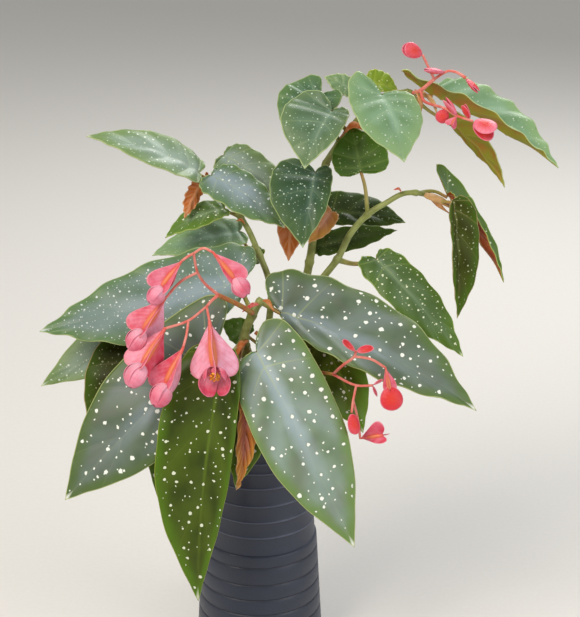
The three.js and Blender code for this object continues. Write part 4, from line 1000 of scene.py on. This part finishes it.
CANES = {
    "front": dict(path=((-4, -8, 144), (-5, -10, 166), (-7, -17, 196), (-7, -20, 219), (-8, -20, 233),
        (-3, -17, 246), (3, -14, 256)), radii=(3.4, 3.4, 3.2, 3, 3, 2.8, 2.2)),
    "left": dict(path=((3, 10, 144), (4, 12, 170), (5, 14, 210), (8, 24, 250), (-1, 28, 276), (-8, 28, 292),
        (-20, 25, 310), (-31, 22, 322)), radii=(2.6, 2.6, 2.4, 2.2, 2, 1.9, 1.7, 1.5)),
    "middle": dict(path=((15, 8, 144), (17, 15, 170), (21, 24, 213), (31, 31, 250), (36, 33, 280),
        (37, 30, 308), (44, 28, 333), (59, 26, 356), (74, 26, 373), (88, 26, 380), (99, 26, 380)),
        radii=(3.2, 3.2, 3, 2.8, 2.6, 2.4, 2.2, 2.1, 2, 1.9, 1.8)),
    "right": dict(path=((12, -8, 144), (15, -6, 170), (24, 6, 220), (38, 9, 255), (52, 10, 275),
        (60, 12, 291), (71, 12, 304), (83, 12, 312), (94, 12, 318), (105, 12, 318), (115, 12, 314)),
        radii=(3, 2.9, 2.7, 2.4, 2.2, 2.1, 2, 1.8, 1.7, 1.6, 1.5)),
}

# %% [markdown]
# Cane is smooth and yellow-green, a little darker in blotches of 8 mm, with a few pale corky pores 4 mm
# apart; leaf stalks are younger and flushed yellow to orange towards the blade. One finish does both: the
# age attribute, which runs along each stem, slides it from one to the other.

# %% Cane and stalk finish
cane_skin, add = new_material("cane_bark_and_stalk", "#70743A")
where = add("TexCoord", out="Object")
age = add("Attribute age", out="Fac")
blotch = add("TexNoise", {"Vector": where, "Scale": 120})
tone = add("MapRange SMOOTHSTEP", (blotch, 0.35, 0.65))
old = add("Mix RGBA", {0: tone, 6: "#788040", 7: "#98A25C"})
stalk = add("Mix RGBA", {0: tone, 6: "#8C8A3E", 7: "#A79A58"})
youth = add("MapRange SMOOTHSTEP", (age, 0.7, 1.5))
grown = add("Mix RGBA", {0: youth, 6: old, 7: stalk})
flush = add("MapRange SMOOTHSTEP", (age, 1.5, 2, 0, 0.7))
flushed = add("Mix RGBA", {0: flush, 6: grown, 7: "#BE8A52"})
pores = add("TexVoronoi", {"Vector": where, "Scale": 260})
pore = add("MapRange", (pores, 0.2, 0.12, 0, 0.35))
barked = add("MapRange", (age, 1, 0.8))
corky = add("Math MULTIPLY", (pore, barked))
dotted = add("Mix RGBA", {0: corky, 6: flushed, 7: "#B5B283"})
bump = add("Bump", {"Height": blotch, "Strength": 0.2, "Distance": 0.3 * MM})
shader = add("BsdfPrincipled", {"Base Color": dotted, "Roughness": 0.42, "IOR": 1.45, "Normal": bump})
add("OutputMaterial", {"Surface": shader})

# %% [markdown]
# At each ring a leaf once had two papery bracts, and the youngest rings still hold theirs: small pointed
# boats, orange-brown, straw or red. A flat grid is bent into each boat along a smooth curve. The same grid
# will serve the petals later, so it is made by a function that takes the bending as another function.

# %% Thin parts from a bent grid
SHEET_THICKNESS = 0.4


def bent_grid(name, rows, columns, shape, count, thickness=SHEET_THICKNESS):
    """A sheet over s 0..1 and r 0..1, bent by shape(s, r), with a map that counts veins across."""
    sheet, points = flat_sheet(columns, rows)
    s, r = (points[:, 1] + 1) / 2, (points[:, 0] + 1) / 2
    bend_sheet(sheet, shape(s, r) * MM, flower_rows=np.stack([s * count, r], 1))
    thicken(sheet, thickness)
    sheet.name = name
    return sheet


def give_blush_and_shade(piece, blush):
    """Gives every point of a piece the same blush, which its finish turns into colour; on wings, tepals and
    shells it is partly painted light.
    """
    write_values(piece.data, blush=np.full(len(piece.data.vertices), float(blush)))


def bract(path, width, face, tone):
    """A small boat along a path of three points; face is the way its open side looks."""
    along = np.array(path[-1], float) - np.array(path[0], float)
    left = np.cross(np.array(face, float), along)
    left /= np.linalg.norm(left)
    up = np.cross(along, left) / np.linalg.norm(along)

    def boat(s, r):
        across = 2 * s - 1
        half = width * np.sin(pi * np.clip(r * 0.94 + 0.06, 0, 1) ** 0.7) + 0.15
        lift = 0.55 * half * across ** 2 + 0.12 * half * np.sin(9 * r + 3 * across)
        return smooth_curve(path, r) + np.outer(across * half, left) + np.outer(lift, up)

    sheet = bent_grid("bract", 10, 14, boat, 5)
    give_blush_and_shade(sheet, tone)
    return sheet


# %% [markdown]
# Each bract has its path, its width, the way its open side looks, and its tone from 0 straw to 1 red. They
# are listed under the cane that holds them.

# %% Bract measures
BRACTS = {
    "front": (
        (((-7, -23, 231), (-10, -33, 233), (-13, -42, 226)), 2.6, (0, -0.3, -1), 0.45),
        (((-7, -23, 230), (-9, -32, 227), (-11, -41, 221)), 2.2, (-1, -0.2, 0.3), 0.1),
        (((1, -19, 254), (-3, -26, 255), (-9, -31, 253)), 1.7, (0, -0.4, 1), 0.95),
        (((4, -18, 256), (7, -22, 256), (11, -27, 252)), 1.6, (0, -0.4, 1), 0.4),
    ),
    "middle": (
        (((53, 24, 351), (60, 17, 363), (70, 14, 358)), 3.4, (0, 0.5, -1), 0.5),
        (((101, 22, 383), (104, 14, 377), (103, 11, 369)), 3, (-1, 0.5, 0.2), 0.2),
        (((104, 23, 382), (111, 15, 375), (114, 11, 366)), 2.2, (1, 0.3, 0.3), 0.05),
    ),
    "right": (
        (((107, 8, 319), (117, 5, 317), (126, 4, 309)), 3.6, (0, 0.4, -1), 0.12),
        (((109, 8, 316), (116, 5, 311), (124, 4, 306)), 2.9, (0.2, 0.4, 1), 0.25),
        (((92, 9, 320), (90, 8, 322), (87, 7, 322)), 1, (0, -0.6, 1), 0.8),
    ),
    "left": (
        (((-31, 20, 324), (-33, 17, 329), (-33, 13, 331)), 1.7, (0.5, -0.6, 0.6), 0.55),
        (((-9, 25, 294), (-11, 22, 297), (-14, 21, 297)), 1.3, (0, -0.6, 1), 0.5),
    ),
}
print("bracts:", sum(len(group) for group in BRACTS.values()))

# %% [markdown]
# The bracts are dry and matt. Their tone picks the colour, patches of 3 mm are worn pale, and fine ribs run
# along them.

# %% Papery bract finish
bract_skin, add = new_material("papery_bract", "#B07A42")
where = add("TexCoord", out="Object")
tone = add("Attribute blush", out="Fac")
rows = add("SeparateXYZ", (add("UVMap flower_rows"),))
patchy = add("TexNoise", {"Vector": where, "Scale": 320, "Detail": 3})
straw = add("MapRange SMOOTHSTEP", (tone, 0, 0.45))
orange = add("Mix RGBA", {0: straw, 6: "#C2A06A", 7: "#C26A2C"})
redness = add("MapRange SMOOTHSTEP", (tone, 0.55, 1))
red = add("Mix RGBA", {0: redness, 6: orange, 7: "#C8404A"})
wear = add("MapRange SMOOTHSTEP", (patchy, 0.4, 0.75, 0, 0.5))
worn = add("Mix RGBA", {0: wear, 6: red, 7: "#D9B98A"})
stripe = add("Math PINGPONG", (rows, 0.5))
bump = add("Bump", {"Height": stripe, "Strength": 0.5, "Distance": 0.3 * MM})
shader = add("BsdfPrincipled", {"Base Color": worn, "Roughness": 0.6, "IOR": 1.4, "Normal": bump})
add("OutputMaterial", {"Surface": shader})

# %% [markdown]
# Each cane is raised with the stalks of all its leaves as one piece, as it has grown, and the bracts that it
# holds are a second piece, because their skin is another.

# %% Raise the canes
STALK_RADII = {True: (1.8, 1.3), False: (1.3, 1.0)}
PETIOLE_GAP = 0.1


def leaf_stalk(leaf):
    """The stalk of one leaf, from its cane to the underside of the blade."""
    base, along, _, up, length = leaf_axes(leaf)
    thick, thin = STALK_RADII[length > BIG_LEAF]
    end = base + along * thin * 1.6 - up * (BLADE_THICKNESS / 2 + PETIOLE_GAP + thin * 0.75)
    points = [*leaf["stalk"], tuple(end)]
    radii = np.linspace(thick, thin, len(points))
    radii[0] *= 1.15
    return stem(points, radii, age=(1, 2))


for name, cane in CANES.items():
    own = [leaf for leaf in LEAVES.values() if leaf["cane"] == name]
    rings = [leaf["stalk"][0] for leaf in own]
    parts = [stem(cane["path"], cane["radii"], swellings=rings, sides=20, age=(0, 0.6))]
    parts += [leaf_stalk(leaf) for leaf in own]
    cane_piece = one_piece("cane_" + name, parts)
    cane_piece.data.materials.append(cane_skin)
    finish_piece(cane_piece, "cane_" + name)
    scales = one_piece(f"cane_{name}_bracts", [bract(*own) for own in BRACTS[name]])
    scales.data.materials.append(bract_skin)
    finish_piece(scales, "cane_" + name)

# %% [markdown]
# The flowers hang in loose sprays. A female begonia flower is a slim seed case with three thin wings that
# flare past its end, and below it five cupped tepals round a knot of yellow stigmas. Each shape is modelled
# once in an upright place, hanging down from 0 at its stalk to -37 mm, and each copy is then aimed, turned
# and scaled. A bud is a clam: two round shells that open little by little.
#
# at and to are the stalk end and the far end. kind says what it is, a clam where nothing is said. nod tips
# the tepals towards the viewer and part opens tepals or clams, both in degrees. spread is how wide the wings
# stand, as a share, and blush is how deep the colour of each wing and then of the tepals is: partly the
# flower's own colour and partly painted light, pale where a part is lit and deep coral where it lies in
# shade.
# A clam's shells use the last two.

# %% Spray measures
SPRAYS = {
    "front": dict(
        stalks=(
            (((-3, -22, 249), (-10, -36, 259), (-23, -50, 271)), (1.8, 1.6, 1.4)),
            (((-23, -50, 271), (-31, -54, 280), (-35, -57, 288), (-37, -60, 301)), (1.1, 0.9, 0.8, 0.8)),
            (((-37, -60, 301), (-31, -62, 305), (-25, -64, 303)), 0.8),
            (((-37, -60, 301), (-40, -62, 300), (-44, -62, 297)), 0.8),
            (((-35, -57, 288), (-45, -59, 283), (-55, -60, 272)), 0.8),
            (((-23, -50, 271), (-27, -52, 268), (-30, -54, 265)), (1.1, 0.9, 0.9)),
            (((-30, -54, 265), (-41, -60, 258), (-55, -66, 255)), 0.8),
            (((-41, -60, 258), (-42, -66, 251), (-44, -70, 244)), 0.8),
            (((-30, -54, 265), (-29, -59, 262), (-28, -62, 258)), 0.8),
        ),
        flowers=(
            dict(kind="flower", at=(-25, -64, 303), to=(-6, -71, 280), turn=-10, scale=0.92, spread=0.65,
                nod=10, blush=(0.65, 0.6, 0.8, 0.65)),
            dict(kind="flower", at=(-44, -62, 297), to=(-62, -69, 275), turn=54, scale=0.89, spread=0.8,
                nod=10, blush=(0.85, 0.6, 0.85, 0.4)),
            dict(kind="flower", at=(-55, -60, 272), to=(-76, -67, 243), turn=24, scale=1.05, spread=0.85,
                blush=(0.05, 0.75, 0.7, 0.5)),
            dict(kind="flower", at=(-55, -66, 255), to=(-76, -83, 225), turn=24, scale=1.15, spread=0.8,
                blush=(0.95, 0.4, 0.8, 0.35)),
            dict(kind="flower", at=(-44, -70, 244), to=(-62, -82, 209), turn=44, scale=1.1, spread=0.7,
                nod=15, blush=(0.2, 0.85, 0.7, 0.6)),
            dict(kind="flower", at=(-28, -62, 258), to=(-23, -80, 212), turn=24, scale=1.3, spread=0.85,
                part=24, nod=40, blush=(0.12, 0.1, 0.6, 0.75)),
        ),
    ),
    "right": dict(
        stalks=(
            (((-1, -22, 236), (24, -23, 213), (48, -44, 216)), (1.4, 1.2, 1.1)),
            (((48, -44, 216), (54, -67, 232), (60, -74, 240), (61, -75, 244)), (0.9, 0.9, 0.9, 0.8)),
            (((60, -74, 240), (70, -76, 239), (79, -75, 233)), 0.8),
            (((48, -44, 216), (62, -62, 216), (72, -67, 218)), (0.9, 0.8, 0.8)),
            (((62, -62, 216), (60, -67, 208), (59, -70, 201)), 0.8),
            (((60, -67, 208), (63, -61, 194), (65, -62, 180)), 0.8),
        ),
        flowers=(
            dict(at=(61, -75, 244), to=(63, -76, 252), turn=37, scale=0.3, part=128,
                blush=(0, 0, 0.95, 0.9)),
            dict(kind="winged", at=(79, -75, 233), to=(84, -82, 208), turn=10, scale=0.7, spread=0.45,
                part=8, blush=(0.7, 0.7, 1, 1)),
            dict(at=(72, -67, 218), to=(78, -70, 217), turn=90, scale=0.2, part=100, blush=(0, 0, 0.05, 0)),
            dict(at=(59, -70, 201), to=(62, -74, 185), turn=20, scale=0.38, spread=0.64, part=6,
                blush=(0, 0, 0.85, 0.7)),
            dict(kind="seed", at=(65, -62, 180), to=(79, -66, 184), turn=-36, scale=0.66,
                blush=(0.9, 0.9, 0.8, 0.4)),
        ),
    ),
    "top": dict(
        stalks=(
            (((99, 23, 381), (103, 16, 384), (111, 12, 392)), (1.2, 1.2, 1.1)),
            (((111, 12, 392), (106, 9, 402), (103, 8, 408)), (0.9, 0.8, 0.8)),
            (((111, 12, 392), (117, 8, 397), (120, 8, 398), (125, 7, 397), (130, 6, 394)),
                (0.9, 0.8, 0.8, 0.9, 1.1)),
            (((103, 16, 384), (105, 14, 378), (109, 13, 376), (117, 6, 375), (125, 2, 371), (135, 0, 368)),
                (1, 1, 0.9, 0.9, 0.8, 0.8)),
        ),
        flowers=(
            dict(at=(103, 8, 408), to=(90, 4, 414), scale=0.39, spread=0.75, part=12,
                blush=(0, 0, 0.65, 0.3)),
            dict(at=(117, 8, 397), to=(101, 4, 400), turn=85, scale=0.38, spread=0.6, part=2,
                blush=(0, 0, 0.2, 0.3)),
            dict(at=(130, 6, 394), to=(137, 1, 387), turn=75, scale=0.34, spread=0.8, part=6,
                blush=(0, 0, 0.9, 1)),
            dict(at=(125, 2, 371), to=(116, 2, 383), turn=75, scale=0.38, spread=0.6, part=8,
                blush=(0, 0, 0.2, 0.5)),
            dict(at=(119, 6, 374), to=(115, 5, 368), scale=0.26, part=10, blush=(0, 0, 0.8, 0.9)),
            dict(kind="seed", at=(125, 2, 371), to=(119, -2, 362), turn=30, scale=0.3,
                blush=(0.8, 0.6, 0.7, 0.8)),
            dict(at=(133, 1, 369), to=(129, 4, 377), scale=0.28, part=10, blush=(0, 0, 1, 1)),
            dict(at=(135, 0, 368), to=(148, -6, 361), turn=35, scale=0.45, spread=0.9, part=30,
                blush=(0, 0, 0.05, 0.9)),
        ),
    ),
}
print("flowers and buds:", sum(len(spray["flowers"]) for spray in SPRAYS.values()))

# %% [markdown]
# A wing is half a heart that is widest past the seed case, a tepal is a petal wrapped round a ball, and a
# bud's shell is a domed disc. Each is one formula over the bent grid, with its veins as faint ridges.

# %% Wings, tepals and shells
WING_EDGE = (
    (0.5, -1), (3.6, -4.6), (8.6, -10), (13.2, -15), (15.8, -19.6), (15.4, -23.6), (12, -26.2), (7.4, -26.4),
    (3.8, -24.6), (1, -22.5),
)
WING_VEINS = 10
SEED_CASE_END = -22.5
TEPAL_LENGTH = 17
TEPAL_WIDTH = 6.2
TEPAL_START = radians(66)
TEPAL_FINISH = radians(-58)
SHELL_LENGTH = 34
PETAL_THICKNESS = 0.35


def wing_shape(s, r):
    """Half a leaf-like wing whose inner side is the seed case and whose lobes hang past its end."""
    edge = smooth_curve(WING_EDGE, s)
    axis = np.stack([0 * s + 0.3, -1.2 + (SEED_CASE_END + 1.4) * s], axis=1)
    spot = axis + (edge - axis) * r[:, None]
    lift = 0.9 * np.sin(pi * s) * r ** 2 + 0.45 * np.sin(2 * pi * 2.5 * s) * r ** 3
    lift -= 0.16 * np.cos(2 * pi * WING_VEINS * s) * r * (1 - r ** 4)
    return np.stack([spot[:, 0], lift, spot[:, 1]], axis=1)


def tepal_shape(s, r):
    """A petal that leaves the seed case sideways and curls inwards below it, wrapped round their ball."""
    across = 2 * s - 1
    half = TEPAL_WIDTH * (1 - np.abs(1.84 * r - 0.84) ** 3) ** 0.55 + 0.3
    turn = TEPAL_START - TEPAL_FINISH
    angle = TEPAL_START - turn * r
    out = 0.9 + TEPAL_LENGTH * (np.cos(angle) - cos(TEPAL_START)) / turn
    down = TEPAL_LENGTH * (sin(TEPAL_START) - np.sin(angle)) / turn
    wrap = across * half / (out + 1.2)
    away = out + (0.55 * across + 0.25 * across ** 4) * np.sin(pi * r) + 0.06 * np.cos(2 * pi * 7 * s)
    return np.stack([away * np.sin(wrap), -away * np.cos(wrap), SEED_CASE_END + 0.6 - down], axis=1)


def shell_shape(s, r):
    """A round, domed disc with a blunt point, spun out from its middle."""
    turn = 2 * pi * s
    across = 16 * r * np.sin(turn) * (1 - 0.12 * np.cos(turn))
    along = SHELL_LENGTH / 2 * r * np.cos(turn)
    dome = 4.2 * (1 - r ** 2) + 0.9 * np.sin(2 * turn + 1) * r ** 2
    return np.stack([across, -dome, -2 - SHELL_LENGTH / 2 + along], axis=1)


def seed_case():
    """The slim seed case, hanging down from the flower's stalk."""
    points = ((0, 0, 0.6), (0, 0, -6), (0, 0, -12.5), (0, 0, -18.5), (0, 0, SEED_CASE_END - 0.6))
    return stem(points, (0.75, 1.3, 1.9, 2, 1.3), sides=12)


PATTERNS = {
    "wing": bent_grid("wing", 28, 12, wing_shape, WING_VEINS, PETAL_THICKNESS),
    "tepal": bent_grid("tepal", 16, 14, tepal_shape, 7, PETAL_THICKNESS),
    "shell": bent_grid("shell", 28, 8, shell_shape, 12, 1),
    "ovary": seed_case(),
}
print("patterns:", {key: len(value.data.polygons) for key, value in PATTERNS.items()})

# %% [markdown]
# The stigmas are short forked stems, twisted like corkscrews. Six thin curves wind round each other.

# %% Stigmas
def stigma_knot():
    """Six thin stems wound round each other."""
    arms = []
    for arm in range(6):
        turn = arm * pi / 3
        points = []
        for k in range(9):
            t = k / 8
            ring = turn + 2.6 * pi * t
            hub = 1.8 * t
            away = 0.3 + 1.15 * sin(pi * min(1, t * 0.8)) * (0.35 + 0.4 * t)
            points.append((
                hub * cos(turn) + away * cos(ring),
                hub * sin(turn) + away * sin(ring),
                SEED_CASE_END - 0.5 - 5 * t,
            ))
        arms.append(stem(points, np.linspace(0.6, 0.5, 9), sides=8))
    return one_piece("stigma", arms)


PATTERNS["stigma"] = stigma_knot()

# %% [markdown]
# Wings and tepals are thin enough for light to wander through them: pale pink to coral in clouds of 5 mm,
# with fine darker veins, a deeper heart beside the seed case and a pale rim. How deep the colour is belongs
# to each part, as its blush, and rides on the mesh as an attribute, so one finish serves them all; that
# depth is partly painted light, paler on lit parts and deeper on shaded ones.

# %% Petal finishes
def petal_skin(name, shown, pale, full, heart, rim, vein, heart_reach):
    """A thin, softly shining petal with veins along its map."""
    material, add = new_material(name, shown)
    blush = add("Attribute blush", out="Fac")
    rows = add("SeparateXYZ", (add("UVMap flower_rows"),))
    outward = rows.node.outputs["Y"]
    where = add("TexCoord", out="Object")
    cloud = add("TexNoise", {"Vector": where, "Scale": 190, "Detail": 3})
    shift = add("Math MULTIPLY_ADD", (cloud, 1.1, -0.55))
    # Colour depth: the part's own colour and painted light, pale where lit, deep where shaded.
    depth = add("Math ADD", (blush, shift), use_clamp=True)
    toned = add("Mix RGBA", {0: depth, 6: pale, 7: full})
    core = add("MapRange SMOOTHSTEP", (outward, heart_reach, 0.05, 0, 0.85))
    hearted = add("Mix RGBA", {0: core, 6: toned, 7: heart})
    to_vein = add("Math PINGPONG", (rows, 0.5))
    thread = add("MapRange SMOOTHSTEP", (to_vein, 0.16, 0.02, 0, 0.22))
    threaded = add("Mix RGBA", {0: thread, 6: hearted, 7: vein})
    hem = add("MapRange SMOOTHSTEP", (outward, 0.9, 0.98, 0, 0.7))
    coloured = add("Mix RGBA", {0: hem, 6: threaded, 7: rim})
    crease = add("Math MULTIPLY_ADD", (cloud, 2.5, to_vein))
    bump = add("Bump", {"Height": crease, "Strength": 0.35, "Distance": 0.5 * MM})
    shader = add("BsdfPrincipled", {
        "Base Color": coloured, "Roughness": 0.45, "IOR": 1.4, "Normal": bump,
        "Subsurface Weight": 0.2, "Subsurface Radius": (0.003, 0.001, 0.001),
    })
    add("OutputMaterial", {"Surface": shader})
    return material


FLOWER_SKINS = {
    "wing": petal_skin("translucent_wing", "#E17886", "#F0AEC6", "#D23C56", "#DC5A4C", "#EE9CA6", "#D2566A",
                       0.4),
    "tepal": petal_skin("rose_tepal", "#E07C8A", "#EFA0B8", "#D03C5A", "#F4C0D2", "#E88AA2", "#D4587A",
                        0.75),
    "shell": petal_skin("red_bud_shell", "#D64B4D", "#EC8298", "#D4303C", "#DC3A22", "#EE8CA2", "#CE3444",
                        0.95),
}

# %% [markdown]
# The fleshy parts are plainer, with a mottle of 5 mm: the seed case coral with an amber back, the stigmas
# orange, the thin flower stalks coral and the main stalks olive to rust.

# %% Fleshy finishes
def soft_skin(name, shown, pale, full, middle):
    """A fleshy skin between two tones, with a third along the middle of its length."""
    material, add = new_material(name, shown)
    where = add("TexCoord", out="Object")
    age = add("Attribute age", out="Fac")
    cloud = add("TexNoise", {"Vector": where, "Scale": 180})
    tone = add("MapRange SMOOTHSTEP", (cloud, 0.35, 0.65))
    fleshy = add("Mix RGBA", {0: tone, 6: pale, 7: full})
    rise = add("MapRange SMOOTHSTEP", (age, 0.2, 0.5))
    fall = add("MapRange SMOOTHSTEP", (age, 0.95, 0.7))
    amber = add("Math MULTIPLY", (rise, fall))
    coloured = add("Mix RGBA", {0: amber, 6: fleshy, 7: middle})
    bump = add("Bump", {"Height": cloud, "Strength": 0.2, "Distance": 0.3 * MM})
    shader = add("BsdfPrincipled", {"Base Color": coloured, "Roughness": 0.4, "IOR": 1.42, "Normal": bump})
    add("OutputMaterial", {"Surface": shader})
    return material


FLOWER_SKINS["ovary"] = soft_skin("coral_seed_case", "#DC6A66", "#DE7068", "#D8584E", "#E07C52")
FLOWER_SKINS["stigma"] = soft_skin("orange_stigma", "#E8862E", "#F2A030", "#EE8A2A", "#F4B848")
FLOWER_SKINS["stalk"] = soft_skin("coral_flower_stalk", "#D97464", "#E28C80", "#D8665A", "#DE7868")
FLOWER_SKINS["peduncle"] = soft_skin("olive_rust_main_stalk", "#A87A48", "#A4823C", "#B0663A", "#B4763C")
print("flower finishes:", sorted(FLOWER_SKINS))

# %% [markdown]
# A flower is put together from its patterns: each copy is turned about the flower's own axis, and the whole
# is then aimed along its line.

# %% Put a flower together
EVERY_THIRD = (0.1, 0.1 + 2 * pi / 3, 0.1 + 4 * pi / 3)
TEPAL_TURN = -0.42
CLOSED_SIZES = (1.03, 1, 1.02, 0.98, 1)
OPEN_SIZES = (0.35, 0.68, 1, 1, 0.66)
WING_SIZES = (1, 0.95, 0.55)
SHELL_DROP = 15.5
SMALL_SHELL = 0.62
THIN_STALK = 1.25


def flower_parts(kind, part, nod, turn, spread, blush):
    """Names, places and blushes of one flower's parts, hanging straight down."""
    spin = Matrix.Rotation(radians(turn), 4, "Z")
    pivot = Matrix.Translation((0, 0, SEED_CASE_END * MM))
    tipped = pivot @ Matrix.Rotation(-radians(nod), 4, "X") @ pivot.inverted() @ spin
    parts = []
    if kind != "clam":
        parts.append(("ovary", spin, 0))
        for k, third in enumerate(EVERY_THIRD):
            wide = spread * WING_SIZES[k]
            narrow = Matrix.Diagonal((wide, spread, 0.8 if kind == "winged" else 1, 1))
            parts.append(("wing", spin @ Matrix.Rotation(third, 4, "Z") @ narrow, blush[k]))
    if kind == "flower":
        for k, size in enumerate(OPEN_SIZES if part else CLOSED_SIZES):
            grown = Matrix.Scale(size, 4)
            lean = pivot @ Matrix.Rotation(-radians(part), 4, "X") @ grown @ pivot.inverted()
            fifth = Matrix.Rotation(TEPAL_TURN + k * 2 * pi / 5, 4, "Z")
            parts.append(("tepal", tipped @ fifth @ lean, blush[3]))
        parts.append(("stigma", tipped, 0))
    if kind in ("clam", "winged"):
        small = Matrix.Translation((0, 0, -SHELL_DROP * MM)) @ Matrix.Scale(SMALL_SHELL, 4)
        flat = Matrix.Diagonal((spread, 1, 1, 1))
        for k, half in enumerate((0, pi)):
            lean = Matrix.Rotation(half, 4, "Z") @ Matrix.Rotation(-radians(part / 2), 4, "X")
            shell = lean @ flat if kind == "clam" else small @ lean
            parts.append(("shell", spin @ shell, blush[2 + k]))
    return parts


def hang(at, to, scale, blush, kind="clam", turn=0, spread=1, part=0, nod=0):
    """One flower's parts, aimed from at to to, turned and scaled."""
    at, to = Vector(at), Vector(to)
    aim = Vector((0, 0, -1)).rotation_difference(to - at).to_matrix().to_4x4()
    place = Matrix.Translation(at * MM) @ aim @ Matrix.Scale(scale, 4)
    copies = []
    for name, own_place, own_blush_and_shade in flower_parts(kind, part, nod, turn, spread, blush):
        copy = copy_shape(PATTERNS[name], place @ own_place)
        give_blush_and_shade(copy, own_blush_and_shade)
        copies.append((name, copy))
    return copies


# %% [markdown]
# A spray is sorted by finish as it is hung, so that it ends as one piece for each kind of part. The upright
# patterns are removed afterwards.

# %% Join each spray by its finishes
for name, spray in SPRAYS.items():
    groups = {}
    for points, radii in spray["stalks"]:
        kind = "peduncle" if np.max(radii) > THIN_STALK else "stalk"
        groups.setdefault(kind, []).append(stem(points, radii, sides=10, age=(0, 0.15)))
    for flower in spray["flowers"]:
        for kind, part in hang(**flower):
            groups.setdefault(kind, []).append(part)
    for kind, parts in groups.items():
        piece = one_piece(f"spray_{name}_{kind}", parts)
        piece.data.materials.clear()
        piece.data.materials.append(FLOWER_SKINS[kind])
        finish_piece(piece, "spray_" + name)
for pattern in PATTERNS.values():
    bpy.data.objects.remove(pattern)
